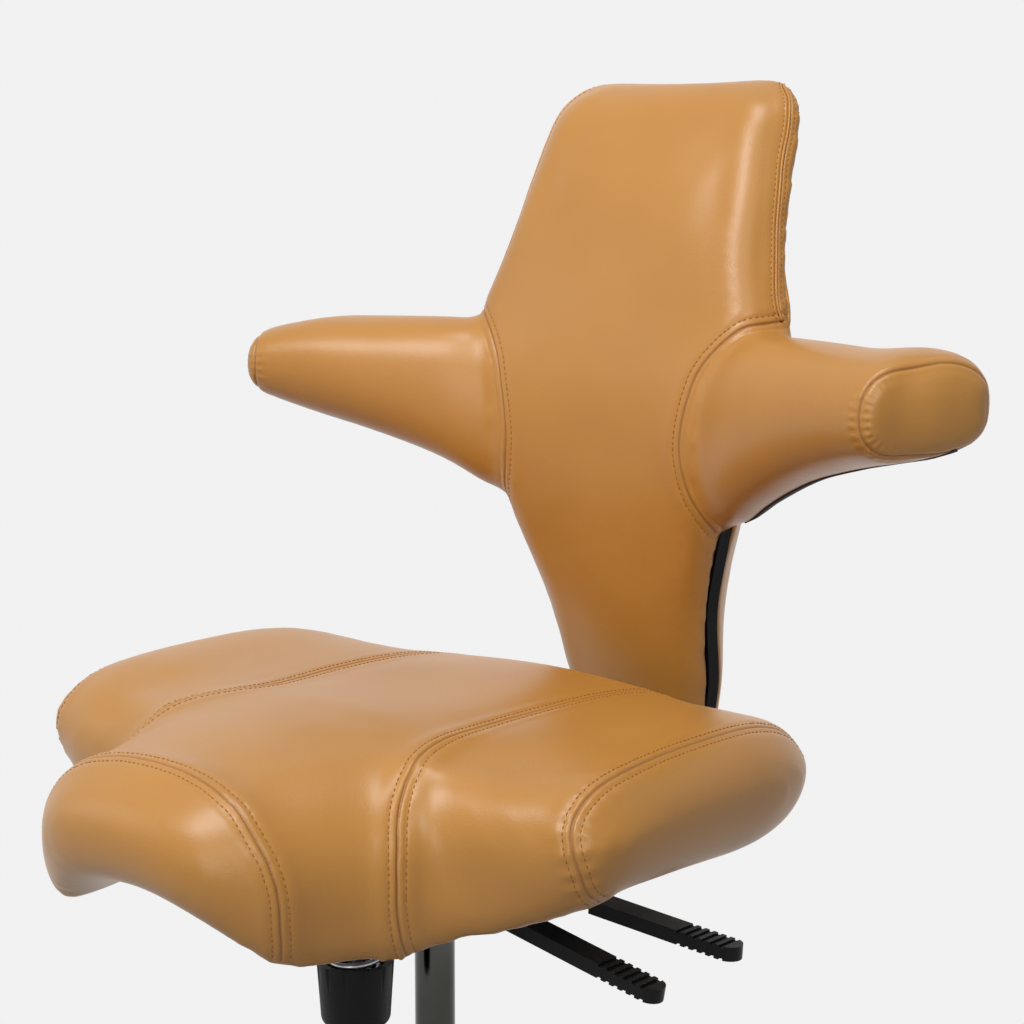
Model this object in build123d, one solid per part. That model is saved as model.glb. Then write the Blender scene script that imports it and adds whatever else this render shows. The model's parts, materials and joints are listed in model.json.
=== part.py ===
from build123d import *
import os
from math import cos, pi, radians, sin, sqrt

# Saddle chair with a winged backrest, on a gas column and a five-leg castor base.
# Millimetres. The origin is on the floor, on the column axis. +Z is up, the sitter faces -Y.

# Heights and the main spacing
SEAT_HEIGHT = 600.0          # top of the saddle above the floor
SEAT_THICKNESS = 73.0        # from the top of the saddle to the flat of its underside
COLUMN_TOP = 330.0           # top of the outer column tube
LIFT_UP = 100.0              # travel of the gas spring above the rest height

# Clearances
SOFT_GAP = 0.3               # between a pad and what carries it
SLIDE_RUN = 0.3              # between sliding faces
RUN_FIT = 0.05               # radial, a shaft in its hole
BLIND_ROOM = 1.0             # past the end of what goes into a blind hole
FREE_FIT = 0.25              # radial, a screw or rod in a loose hole
CUT_OVER = 1.0               # how far a cutter runs past the piece that it cuts

# Castors
WHEEL_RADIUS = 30.0
WHEEL_WIDTH = 17.0
WHEEL_ROUND = 4.0            # rounding of the tread's edges
WHEEL_DISH_RADIUS = 21.0
WHEEL_DISH_DEPTH = 3.0
CASTOR_WEB = 8.0             # middle wall of the hood, between the two wheels
CASTOR_GAP = 0.8             # between a wheel and the wall beside it
HOOD_WALL = 2.4
HOOD_GAP = 1.6               # between the tread and the hood over it
HOOD_SKIRT = 22.0            # lowest edge of the hood above the floor
CASTOR_TRAIL = 22.0          # from the stem axis back to the wheel axle
CASTOR_AXLE_RADIUS = 4.0
STEM_RADIUS = 5.5
STEM_LENGTH = 26.0           # inside the leg
STEM_BOSS_RADIUS = 11.0
COLLAR_RADIUS = 9.0
COLLAR_HEIGHT = 3.0

# Five-leg base
LEG_COUNT = 5
FIRST_LEG_ANGLE = -90.0      # this leg points to the front
LEG_REACH = 290.0            # column axis to castor stem
LEG_END_WIDTH = 30.0
LEG_END_HEIGHT = 24.0
LEG_ROOT_WIDTH = 46.0
LEG_ROOT_HEIGHT = 52.0
LEG_ROOT_START = 18.5        # from the column axis
LEG_ROOT_DROP = 6.0          # top of a leg's root below the top of the hub
LEG_EDGE = 8.0               # rounding of the leg's long edges
LEG_BOSS_RADIUS = 19.0
LEG_BOSS_HEIGHT = 32.0
HUB_RADIUS = 37.0
HUB_BOTTOM = 72.0
HUB_HEIGHT = 66.0

# Gas column
TUBE_RADIUS = 25.0
TUBE_WALL = 2.0
TUBE_TAPER = 1.0             # how much the tube's radius shrinks inside the hub
TUBE_BOTTOM = 62.0
TUBE_FLOOR = 4.0
BUSH_LENGTH = 80.0
BUSH_FLANGE = 4.0
CYLINDER_RADIUS = 14.0
CYLINDER_WALL = 2.4
CYLINDER_CAP = 14.0
CYLINDER_HEAD = 28.0         # solid top that guides the valve pin
CYLINDER_TAPER = 0.8         # how much its radius shrinks inside the socket
GUIDE_ENGAGEMENT = 50.0      # cylinder left in the bush at full height
ROD_RADIUS = 5.0
ROD_TAIL = 6.0               # below the tube's floor
PISTON_HEIGHT = 16.0
PISTON_ABOVE_CYLINDER = 20.0
BEARING_RADIUS = 15.0
BEARING_HEIGHT = 8.0
CLIP_RADIUS = 10.0
CLIP_HEIGHT = 2.0
PIN_RADIUS = 3.0
PIN_STAND = 7.0              # valve pin above the cylinder
PIN_LENGTH = 18.0
PIN_ROUND = 1.0

# Tilt mechanism
HOUSING_HALF_WIDTH = 52.0
HOUSING_FRONT = -104.0
HOUSING_REAR = 54.0
HOUSING_WALL = 4.0
HOUSING_BELOW_AXLE = 20.0
HOUSING_ABOVE_AXLE = 8.0
SOCKET_RADIUS = 23.0
SOCKET_BELOW = 12.0          # socket below the housing floor
SOCKET_HEIGHT = 18.0
AXLE_RADIUS = 7.0
AXLE_Y = 30.0
AXLE_DROP = 16.0             # axle below the carrier plate
EAR_RADIUS = 14.0
EAR_THICKNESS = 6.0
EAR_GAP = 1.5
AXLE_STAND = 6.0             # axle past the ear
CIRCLIP_RADIUS = 10.0
CIRCLIP_THICKNESS = 2.0
STOP_LENGTH = 30.0
STOP_DEPTH = 10.0

# Carrier plate and seat slide
CARRIER_HALF_WIDTH = 75.0
CARRIER_FRONT = -108.0
CARRIER_REAR = 120.0
CARRIER_THICKNESS = 6.0
RAIL_X = 58.0
RAIL_TOP_WIDTH = 16.0
RAIL_FOOT_WIDTH = 11.0
RAIL_HEIGHT = 9.0
RAIL_REACH = 105.0           # half the rail's length
BLOCK_WIDTH = 26.0
BLOCK_LENGTH = 36.0
BLOCK_ROOF = 4.0
BLOCK_PLACES = (-45.0, 55.0)
SLIDE_PLATE_THICKNESS = 4.0
SLIDE_PLATE_HALF_WIDTH = 72.0
SLIDE_PLATE_FRONT = -78.0
SLIDE_PLATE_REAR = 130.0
SEAT_PLATE_DROP = 12.0       # slide plate's top below the seat's underside
SEAT_SCREW_RADIUS = 3.0
SEAT_SCREW_LENGTH = 14.0
SEAT_SCREW_HEAD_RADIUS = 6.0
SEAT_SCREW_HEAD_HEIGHT = 3.0
SEAT_SCREW_X = 30.0
SEAT_SCREW_PLACES = (-50.0, 30.0)
SHELL_BOSS_RADIUS = 9.0

# Tension bolt, spring and knob
KNOB_Y = -78.0
KNOB_BOTTOM_DROP = 216.0     # underside of the knob below the seat top
KNOB_HEIGHT = 44.0
KNOB_TOP_RADIUS = 26.0
KNOB_BOTTOM_RADIUS = 23.0
KNOB_ROUND = 7.0
KNOB_WALL = 5.0
KNOB_FLOOR = 20.0
KNOB_FLUTES = 12
FLUTE_RADIUS = 2.6
BOLT_RADIUS = 5.0
BOLT_HEAD_RADIUS = 8.5
BOLT_HEAD_HEIGHT = 5.5
BOLT_TIP_COVER = 8.0         # knob left under the bolt's tip
BOLT_SWING = 14.0            # forward room for the bolt in the housing floor as the seat tilts
SPRING_WIRE = 4.5
SPRING_RADIUS = 16.0
SPRING_TURNS = 6

# Levers
LEVER_WIDTH = 16.0
LEVER_BELOW_AXLE = 1.0
STRIP_END = 140.0            # X where both strips end inside their grips
STRIP_BEND = 7.0             # from a strip's lower bend to the start of its grip
LEVER_THICKNESS = 5.0
LEVER_PIN_RADIUS = 3.0
LEVER_HUB_RADIUS = 6.5
LEVER_PAST_PIN = 6.0         # inner end of the strip past the valve pin's axis
LUG_PAST_PIN = 6.0           # lug past the lever pin's axis
LUG_THICKNESS = 4.0
LUG_GAP = 1.0
LUG_DEPTH = 12.0
GRIP_WIDTH = 19.0
GRIP_THICKNESS = 10.0
GRIP_RIBS = 6
GRIP_RIB_STEP = 7.0
GRIP_RIB_DEPTH = 1.4
HEIGHT_LEVER_Y = 0.0
HEIGHT_LEVER_PIVOT_X = 38.0
HEIGHT_LEVER_TIP = (198.0, 171.0)       # X, and drop below the seat top
HEIGHT_LEVER_ROOT = (91.0, 151.0)
HEIGHT_GRIP_START = 74.0
SLIDE_LEVER_Y = 80.0
SLIDE_LEVER_PIVOT_X = 54.0
SLIDE_LEVER_PIVOT_DROP = 8.0            # below the carrier plate
SLIDE_LEVER_TIP = (202.0, 163.0)
SLIDE_LEVER_ROOT = (83.0, 155.0)
SLIDE_GRIP_START = 80.0
BRAKE_PAD_X = 35.0
BRAKE_PAD_SIZE = 14.0
BRAKE_WINDOW_ROOM = 3.0

# Back upright and carriage
UPRIGHT_WIDTH = 40.0
UPRIGHT_THICKNESS = 8.0
UPRIGHT_Y = 260.0
UPRIGHT_BEND = 34.0
UPRIGHT_START = 62.0
UPRIGHT_TOP_ABOVE_SEAT = 200.0
UPRIGHT_BOLT_RADIUS = 4.0
UPRIGHT_BOLT_HEAD_RADIUS = 6.5
UPRIGHT_BOLT_HEAD_HEIGHT = 4.0
UPRIGHT_NUT_HEIGHT = 6.5
UPRIGHT_BOLT_PLACES = (76.0, 104.0)
CARRIAGE_HALF_WIDTH = 30.0
CARRIAGE_ABOVE_SEAT = 85.0
CARRIAGE_HEIGHT = 50.0
CARRIAGE_WALL = 4.0
CARRIAGE_FRONT = 212.0
CARRIAGE_SCREW_X = 25.0
CARRIAGE_SCREW_RISE = 16.0
CARRIAGE_SCREW_RADIUS = 2.5
CARRIAGE_SCREW_HEAD_RADIUS = 4.0
CARRIAGE_SCREW_HEAD_HEIGHT = 2.5
CARRIAGE_SCREW_START = 223.0  # screw tips, inside the shell
LOCK_KNOB_RADIUS = 20.0
LOCK_KNOB_DEPTH = 20.0
LOCK_KNOB_ROUND = 4.0
LOCK_KNOB_LOBES = 6
LOCK_LOBE_REACH = 24.0       # from the knob's axis to the middle of a hollow in its rim
LOCK_LOBE_RADIUS = 8.0
LOCK_STUD_RADIUS = 4.0
LOCK_HOLE_RADIUS = 7.0
LOCK_KNOB_STAND = 2.0

# Saddle ribs, front to rear: place along Y, then, as drops below the seat top and half widths:
# drop of the crown, half width and drop where the side is widest, half width and drop of the
# lower edge, half width and drop where the top starts to roll over, drop of the underside.
SADDLE_RIBS = (
    (-284, 38, 46, 50, 30, 60, 24, 41, 58),
    (-278, 25, 70, 54, 52, 71, 36, 29, 66),
    (-267, 16, 87, 66, 75, 88, 44, 20, 72),
    (-250, 8, 101, 80, 93, 104, 47, 13, 76),
    (-230, 5, 112, 88, 105, 111, 48, 10, 78),
    (-195, 2, 126, 94, 119, 115, 52, 7, 79),
    (-168, 1, 139, 95, 131, 116, 56, 6, 79),
    (-150, 1, 154, 88, 143, 114, 66, 6, 79),
    (-141, 1, 184, 66, 156, 111, 86, 6, 78),
    (-133, 1, 219, 46, 166, 107, 110, 6, 78),
    (-125, 1, 240, 39, 175, 103, 138, 7, 77),
    (-114, 1, 249, 37, 187, 95, 170, 7, 76),
    (-97, 0, 251, 36, 206, 83, 196, 5, 75),
    (-68, 0, 252, 36, 214, 75, 208, 3, 73),
    (0, 0, 252, 36, 216, 74.5, 213, 1.5, 73),
    (50, 0, 251, 36, 215, 74.5, 210, 2.5, 73),
    (82, 1, 245, 36, 209, 68, 200, 7, 72),
    (104, 2, 232, 36, 200, 60, 186, 13, 70),
    (122, 4, 207, 36, 177, 56, 158, 17, 67),
    (136, 8, 173, 37, 148, 54, 126, 20, 64),
    (146, 17, 136, 38, 114, 52, 94, 24, 59),
    (151, 28, 104, 39, 84, 48, 70, 31, 52),
)
SHELL_FIRST_RIB = 5          # the moulded shell spans these ribs, inside the pad's edge
SHELL_LAST_RIB = 17
SHELL_INSET = 60.0
SHELL_THICKNESS = 8.0
SHELL_GAP = 1.0              # leather turned under the pad, between it and the shell

# Backrest levels, bottom to top: height above the seat top, half width and Y of the side edge,
# Y of the front at the middle, half width and Y where the front rolls over, how far the pad's
# rear bows back, and Y of the rear cover at the middle.
BACK_LEVELS = (
    (-65, 60, 232, 218, 38, 220, 10, 282),
    (-31, 65, 228, 212, 42, 213, 12, 282),
    (18, 72, 216, 199, 48, 200, 16, 282),
    (64, 86, 204, 187, 60, 186, 18, 282),
    (103, 97, 199, 178, 76, 175, 18, 282),
    (145, 103, 198, 172, 86, 167, 18, 282),
    (185, 110, 199, 171, 90, 167, 18, 282),
    (220, 121, 203, 176, 94, 174, 18, 282),
    (242, 133, 207, 182, 98, 183, 18, 283),
    (268, 127, 212, 191, 94, 192, 18, 284),
    (319, 115, 229, 208, 84, 210, 17, 288),
    (371, 107, 250, 229, 76, 232, 16, 293),
    (391, 103, 259, 240, 70, 243, 14, 295),
    (404, 93, 267, 252, 60, 255, 10, 296),
    (412, 78, 274, 266, 50, 268, 6, 295),
)
BACK_SHELL_THICKNESS = 8.0
BACK_RIM_OUT = 4.0           # how far the shell's rear edge stands out past the pad
BACK_RIM_DEPTH = 7.0
COVER_OUT = 7.0              # rear cover's edge past the pad's
COVER_DEPTH = 10.0
COVER_THICKNESS = 6.0

# Arm ribs, root to tip: X, front Y, rear Y, and top and bottom heights above the seat top
ARM_RIBS = (
    (82, 174, 250, 224, 106),
    (115, 157, 247, 233, 112),
    (140, 145, 238, 237, 122),
    (190, 125, 222, 236, 143),
    (240, 105, 205, 234, 157),
    (280, 92, 190, 231, 166),
    (297, 112, 184, 229, 170),
    (312, 128, 178, 227, 175),
    (322, 143, 172, 221, 182),
    (328, 152, 166, 213, 189),
)
ARM_FULLNESS = 0.74          # 0.71 is an ellipse, more is squarer
SPAR_HALF_SPAN = 270.0
SPAR_FLAT = 60.0             # half the straight middle of the spar
SPAR_TIP_Y = 142.0
SPAR_HEIGHT = 24.0
SPAR_THICKNESS = 8.0
SPAR_ABOVE_SEAT = 189.0

# Levels that follow from the sizes above
UNDERSIDE = SEAT_HEIGHT - SEAT_THICKNESS
PLATE_TOP = UNDERSIDE - SEAT_PLATE_DROP
PLATE_BOTTOM = PLATE_TOP - SLIDE_PLATE_THICKNESS
RAIL_TOP = PLATE_BOTTOM - BLOCK_ROOF - SLIDE_RUN
CARRIER_TOP = RAIL_TOP - RAIL_HEIGHT
CARRIER_BOTTOM = CARRIER_TOP - CARRIER_THICKNESS
AXLE_Z = CARRIER_BOTTOM - AXLE_DROP
HOUSING_BOTTOM = AXLE_Z - HOUSING_BELOW_AXLE
HOUSING_TOP = AXLE_Z + HOUSING_ABOVE_AXLE
HOUSING_FLOOR = HOUSING_BOTTOM + HOUSING_WALL
HEIGHT_LEVER_Z = AXLE_Z - LEVER_BELOW_AXLE
PIN_TOP = HEIGHT_LEVER_Z - LEVER_THICKNESS / 2 - SLIDE_RUN
CYLINDER_TOP = PIN_TOP - PIN_STAND
CYLINDER_BOTTOM = COLUMN_TOP - LIFT_UP - GUIDE_ENGAGEMENT
SOCKET_BOTTOM = HOUSING_BOTTOM - SOCKET_BELOW
PISTON_BOTTOM = CYLINDER_BOTTOM + LIFT_UP + PISTON_ABOVE_CYLINDER
KNOB_BOTTOM = SEAT_HEIGHT - KNOB_BOTTOM_DROP
STEM_FOOT = 2 * WHEEL_RADIUS + HOOD_GAP + HOOD_WALL
LEG_FOOT = STEM_FOOT + COLLAR_HEIGHT
SLIDE_LEVER_Z = CARRIER_BOTTOM - SLIDE_LEVER_PIVOT_DROP
CARRIAGE_BOTTOM = SEAT_HEIGHT + CARRIAGE_ABOVE_SEAT
CARRIAGE_MIDDLE = CARRIAGE_BOTTOM + CARRIAGE_HEIGHT / 2
UPRIGHT_REAR = UPRIGHT_Y + UPRIGHT_THICKNESS / 2


def block(x, y, z):
    """A box between the low and high values of each pair."""
    size = [pair[1] - pair[0] for pair in (x, y, z)]
    middle = [(pair[0] + pair[1]) / 2 for pair in (x, y, z)]
    return Pos(*middle) * Box(*size)


def post(x, y, low, high, radius, top_radius=None):
    """An upright cylinder, or a cone where the top has its own radius."""
    height = high - low
    middle = Pos(x, y, (low + high) / 2)
    if top_radius is None:
        return middle * Cylinder(radius, height)
    return middle * Cone(radius, top_radius, height)


def rod_x(low, high, y, z, radius):
    """A cylinder along X."""
    return Pos((low + high) / 2, y, z) * Rot(0, 90, 0) * Cylinder(radius, high - low)


def rod_y(x, low, high, z, radius):
    """A cylinder along Y."""
    return Pos(x, (low + high) / 2, z) * Rot(90, 0, 0) * Cylinder(radius, high - low)


def ring(x, y, low, high, outer, inner):
    """An upright tube."""
    return post(x, y, low, high, outer) - post(x, y, low, high, inner)


def arc_height(x, half, edge, middle):
    """Height at x of the arc through (-half, edge), (0, middle) and (half, edge)."""
    sag = middle - edge
    radius = (half * half + sag * sag) / (2 * sag)
    centre = middle - radius
    side = 1 if radius > 0 else -1
    return centre + side * sqrt(radius * radius - x * x)


def save(node, *shapes):
    """Write a node: one solid, or a group of separate ones."""
    whole = shapes[0] if len(shapes) == 1 else Compound(children=[Compound(s.wrapped) for s in shapes])
    export_step(whole, f"parts/{node}.step")


# Saddle
def saddle_rib(y, crown, widest, widest_drop, edge, edge_drop, roll, roll_drop, under):
    """One closed rib of the saddle pad across X."""
    def at(x, drop):
        return (x, y, SEAT_HEIGHT - drop)

    bend = sqrt(0.5)
    out_x = roll + (widest - roll) * bend
    out_drop = widest_drop - (widest_drop - roll_drop) * bend
    low_x = edge + (widest - edge) * bend
    low_drop = widest_drop + (edge_drop - widest_drop) * bend
    return Wire([
        Edge.make_three_point_arc(at(-roll, roll_drop), at(0, crown), at(roll, roll_drop)),
        Edge.make_three_point_arc(at(roll, roll_drop), at(out_x, out_drop), at(widest, widest_drop)),
        Edge.make_three_point_arc(at(widest, widest_drop), at(low_x, low_drop), at(edge, edge_drop)),
        Edge.make_three_point_arc(at(edge, edge_drop), at(0, under), at(-edge, edge_drop)),
        Edge.make_three_point_arc(at(-edge, edge_drop), at(-low_x, low_drop), at(-widest, widest_drop)),
        Edge.make_three_point_arc(at(-widest, widest_drop), at(-out_x, out_drop), at(-roll, roll_drop)),
    ])


def seat_cushion():
    return Solid.make_loft([saddle_rib(*rib) for rib in SADDLE_RIBS])


def seat_shell():
    """Moulded shell that follows the pad's underside, with four screw bosses."""
    wires = []
    for rib in SADDLE_RIBS[SHELL_FIRST_RIB:SHELL_LAST_RIB]:
        y, edge, edge_drop, under = rib[0], rib[4], rib[5], rib[8]
        half = edge - SHELL_INSET
        top = SEAT_HEIGHT - under - SHELL_GAP
        side = SEAT_HEIGHT - arc_height(half, edge, edge_drop, under) - SHELL_GAP
        low_top = top - SHELL_THICKNESS
        low_side = side - SHELL_THICKNESS
        wires.append(Wire([
            Edge.make_three_point_arc((-half, y, side), (0, y, top), (half, y, side)),
            Edge.make_line((half, y, side), (half, y, low_side)),
            Edge.make_three_point_arc((half, y, low_side), (0, y, low_top), (-half, y, low_side)),
            Edge.make_line((-half, y, low_side), (-half, y, side)),
        ]))
    shell = Solid.make_loft(wires, ruled=True)
    for x, y in seat_screw_places():
        shell += post(x, y, PLATE_TOP, UNDERSIDE - SHELL_THICKNESS / 2, SHELL_BOSS_RADIUS)
    for x, y in seat_screw_places():
        shell -= post(x, y, PLATE_TOP, PLATE_BOTTOM + SEAT_SCREW_LENGTH, SEAT_SCREW_RADIUS + RUN_FIT)
    return shell


def seat_screw_places():
    return [(side * SEAT_SCREW_X, y) for side in (-1, 1) for y in SEAT_SCREW_PLACES]


def seat_screws():
    screws = []
    for x, y in seat_screw_places():
        shank = post(x, y, PLATE_BOTTOM, PLATE_BOTTOM + SEAT_SCREW_LENGTH - BLIND_ROOM, SEAT_SCREW_RADIUS)
        head = post(x, y, PLATE_BOTTOM - SEAT_SCREW_HEAD_HEIGHT, PLATE_BOTTOM, SEAT_SCREW_HEAD_RADIUS)
        screws.append(shank + head)
    return screws


def seat_slide_plate():
    plate = block(
        (-SLIDE_PLATE_HALF_WIDTH, SLIDE_PLATE_HALF_WIDTH),
        (SLIDE_PLATE_FRONT, SLIDE_PLATE_REAR),
        (PLATE_BOTTOM, PLATE_TOP),
    )
    for x, y in seat_screw_places():
        plate -= post(x, y, PLATE_BOTTOM, PLATE_TOP, SEAT_SCREW_RADIUS + FREE_FIT)
    return plate


def rail_section(extra=0.0):
    """Dovetail across X: narrow foot, wide top, grown by a clearance on every side."""
    foot = RAIL_FOOT_WIDTH / 2 + extra
    top = RAIL_TOP_WIDTH / 2 + extra
    height = RAIL_HEIGHT + extra
    return Polyline((-foot, 0), (foot, 0), (top, height), (-top, height), close=True)


def rail_bar(x, half, extra=0.0):
    face = Plane((x, half, CARRIER_TOP), x_dir=(1, 0, 0), z_dir=(0, -1, 0)) * make_face(rail_section(extra))
    return extrude(face, amount=2 * half)


def slide_rails():
    return [rail_bar(side * RAIL_X, RAIL_REACH) for side in (-1, 1)]


def slide_blocks():
    blocks = []
    for x in (-RAIL_X, RAIL_X):
        for y in BLOCK_PLACES:
            body = block(
                (x - BLOCK_WIDTH / 2, x + BLOCK_WIDTH / 2),
                (y - BLOCK_LENGTH / 2, y + BLOCK_LENGTH / 2),
                (CARRIER_TOP + SLIDE_RUN, PLATE_BOTTOM),
            )
            blocks.append(body - rail_bar(x, 2 * RAIL_REACH, SLIDE_RUN))
    return blocks


# Carrier and tilt mechanism
def ear(side):
    low = HOUSING_HALF_WIDTH + EAR_GAP
    x = sorted((side * low, side * (low + EAR_THICKNESS)))
    cheek = block(x, (AXLE_Y - EAR_RADIUS, AXLE_Y + EAR_RADIUS), (AXLE_Z, CARRIER_BOTTOM))
    return cheek + rod_x(x[0], x[1], AXLE_Y, AXLE_Z, EAR_RADIUS)


def lug_pair(x, y, low, high, depth):
    """Two cheeks that hold a lever's pin, one each side of the lever along Y."""
    inner = LEVER_WIDTH / 2 + LUG_GAP
    pair = []
    for side in (-1, 1):
        span = sorted((y + side * inner, y + side * (inner + LUG_THICKNESS)))
        pair.append(block((x - depth / 2, x + depth / 2), span, (low, high)))
    return pair[0] + pair[1]


def tilt_carrier():
    plate = block(
        (-CARRIER_HALF_WIDTH, CARRIER_HALF_WIDTH),
        (CARRIER_FRONT, CARRIER_REAR),
        (CARRIER_BOTTOM, CARRIER_TOP),
    )
    reach = HOUSING_HALF_WIDTH + EAR_GAP + EAR_THICKNESS
    carrier = plate + ear(-1) + ear(1)
    carrier += lug_pair(
        SLIDE_LEVER_PIVOT_X, SLIDE_LEVER_Y, SLIDE_LEVER_Z - LUG_PAST_PIN, CARRIER_BOTTOM,
        LUG_DEPTH,
    )
    carrier -= rod_x(-reach - CUT_OVER, reach + CUT_OVER, AXLE_Y, AXLE_Z, AXLE_RADIUS + RUN_FIT)
    carrier -= slide_lever_pin(RUN_FIT)
    carrier -= post(0, KNOB_Y, CARRIER_BOTTOM, CARRIER_TOP, BOLT_RADIUS + FREE_FIT)
    room = BRAKE_PAD_SIZE / 2 + BRAKE_WINDOW_ROOM
    carrier -= block(
        (BRAKE_PAD_X - room, BRAKE_PAD_X + room),
        (SLIDE_LEVER_Y - room, SLIDE_LEVER_Y + room),
        (CARRIER_BOTTOM, CARRIER_TOP),
    )
    for y in UPRIGHT_BOLT_PLACES:
        carrier -= post(0, y, CARRIER_BOTTOM, CARRIER_TOP, UPRIGHT_BOLT_RADIUS + FREE_FIT)
    return carrier


def mechanism_housing():
    """Open pressed box with the column socket, the axle bores and the height lever's lugs."""
    half = HOUSING_HALF_WIDTH
    box = block((-half, half), (HOUSING_FRONT, HOUSING_REAR), (HOUSING_BOTTOM, HOUSING_TOP))
    box -= block(
        (-half + HOUSING_WALL, half - HOUSING_WALL),
        (HOUSING_FRONT + HOUSING_WALL, HOUSING_REAR),
        (HOUSING_FLOOR, HOUSING_TOP),
    )
    box += post(0, 0, SOCKET_BOTTOM, SOCKET_BOTTOM + SOCKET_HEIGHT, SOCKET_RADIUS)
    box += lug_pair(
        HEIGHT_LEVER_PIVOT_X, HEIGHT_LEVER_Y, HOUSING_FLOOR, HEIGHT_LEVER_Z + LUG_PAST_PIN,
        LUG_DEPTH,
    )
    box -= cylinder_outside(RUN_FIT)
    box -= height_lever_pin(RUN_FIT)
    box -= rod_x(-half, half, AXLE_Y, AXLE_Z, AXLE_RADIUS + RUN_FIT)
    slot = LEVER_WIDTH / 2 + LUG_GAP
    box -= block((half - HOUSING_WALL, half), (-slot, slot), (HOUSING_FLOOR, HOUSING_TOP))
    hole = BOLT_RADIUS + FREE_FIT
    box -= post(0, KNOB_Y, HOUSING_BOTTOM, HOUSING_FLOOR, hole)
    box -= post(0, KNOB_Y - BOLT_SWING, HOUSING_BOTTOM, HOUSING_FLOOR, hole)
    box -= block((-hole, hole), (KNOB_Y - BOLT_SWING, KNOB_Y), (HOUSING_BOTTOM, HOUSING_FLOOR))
    return box


def tilt_axle():
    reach = HOUSING_HALF_WIDTH + EAR_GAP + EAR_THICKNESS + AXLE_STAND
    return rod_x(-reach, reach, AXLE_Y, AXLE_Z, AXLE_RADIUS)


def axle_clips():
    near = HOUSING_HALF_WIDTH + EAR_GAP + EAR_THICKNESS + SLIDE_RUN
    far = near + CIRCLIP_THICKNESS
    clips = []
    for side in (-1, 1):
        x = sorted((side * near, side * far))
        clip = rod_x(x[0], x[1], AXLE_Y, AXLE_Z, CIRCLIP_RADIUS)
        clips.append(clip - rod_x(x[0], x[1], AXLE_Y, AXLE_Z, AXLE_RADIUS + RUN_FIT))
    return clips


def tilt_stop():
    half = STOP_LENGTH / 2
    wall = (HOUSING_FRONT, HOUSING_FRONT + STOP_DEPTH)
    return block((-half, half), wall, (HOUSING_TOP, CARRIER_BOTTOM - SLIDE_RUN))


# Tension bolt, spring and knob
def tension_bolt():
    head = Pos(0, KNOB_Y, CARRIER_TOP) * extrude(RegularPolygon(BOLT_HEAD_RADIUS, 6), BOLT_HEAD_HEIGHT)
    return head + post(0, KNOB_Y, KNOB_BOTTOM + BOLT_TIP_COVER, CARRIER_TOP, BOLT_RADIUS)


def tension_knob():
    """Fluted cup that screws along the bolt and carries the spring."""
    top = KNOB_BOTTOM + KNOB_HEIGHT
    body = post(0, KNOB_Y, KNOB_BOTTOM, top, KNOB_BOTTOM_RADIUS, KNOB_TOP_RADIUS)
    low_edge = body.edges().filter_by(GeomType.CIRCLE).sort_by(Axis.Z)[0]
    body = fillet(low_edge, KNOB_ROUND)
    for turn in range(KNOB_FLUTES):
        angle = 2 * pi * turn / KNOB_FLUTES
        reach = KNOB_TOP_RADIUS + FLUTE_RADIUS / 2
        body -= post(reach * cos(angle), KNOB_Y + reach * sin(angle), KNOB_BOTTOM, top, FLUTE_RADIUS)
    body -= post(0, KNOB_Y, KNOB_BOTTOM + KNOB_FLOOR, top, KNOB_TOP_RADIUS - KNOB_WALL)
    return body - post(0, KNOB_Y, KNOB_BOTTOM + BOLT_TIP_COVER - SLIDE_RUN, top, BOLT_RADIUS + RUN_FIT)


def tilt_spring():
    """Coil spring between the knob's cup and the housing floor, one unbroken wire on biarcs."""
    low = KNOB_BOTTOM + KNOB_FLOOR + SLIDE_RUN + SPRING_WIRE / 2
    high = HOUSING_BOTTOM - SLIDE_RUN - SPRING_WIRE / 2
    quarters = 4 * SPRING_TURNS
    rise = (high - low) / quarters
    pitch = 4 * rise

    def point(quarter):
        angle = quarter * pi / 2
        return Vector(SPRING_RADIUS * cos(angle), KNOB_Y + SPRING_RADIUS * sin(angle), low + rise * quarter)

    def heading(quarter):
        angle = quarter * pi / 2
        climb = pitch / (2 * pi * SPRING_RADIUS)
        return Vector(-sin(angle), cos(angle), climb).normalized()

    edges = []
    for quarter in range(quarters):
        edges += biarc(point(quarter), heading(quarter), point(quarter + 1), heading(quarter + 1))
    print("tilt_spring gap between turns:", round(pitch - SPRING_WIRE, 2))
    wire_face = Plane(origin=point(0), z_dir=heading(0)) * Circle(SPRING_WIRE / 2)
    return sweep(wire_face, path=Wire(edges))


def biarc(start, start_way, end, end_way):
    """Two arcs that join two points, each tangent to the heading given there."""
    span = end - start
    both = start_way + end_way
    spread = 2 * (1 - start_way.dot(end_way))
    along = span.dot(both)
    reach = (sqrt(along * along + spread * span.dot(span)) - along) / spread
    joint = (start + start_way * reach + end - end_way * reach) * 0.5
    first = Edge.make_tangent_arc(start, start_way, joint)
    second = Edge.make_tangent_arc(joint, first.tangent_at(1), end)
    return [first, second]


# Levers
def lever_line(root, tip):
    """Height of the straight, visible part of a lever as a function of X."""
    slope = (root[1] - tip[1]) / (tip[0] - root[0])
    return lambda x: SEAT_HEIGHT - root[1] + slope * (x - root[0])


def lever_strip(points, y):
    """Flat strip through (X, Z) points, LEVER_WIDTH along Y."""
    path = Polyline(*[(x, z) for x, z in points])
    face = offset(path, LEVER_THICKNESS / 2, side=Side.BOTH, kind=Kind.INTERSECTION)
    placed = Plane((0, y + LEVER_WIDTH / 2, 0), x_dir=(1, 0, 0), z_dir=(0, -1, 0)) * make_face(face)
    return extrude(placed, amount=LEVER_WIDTH)


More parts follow.
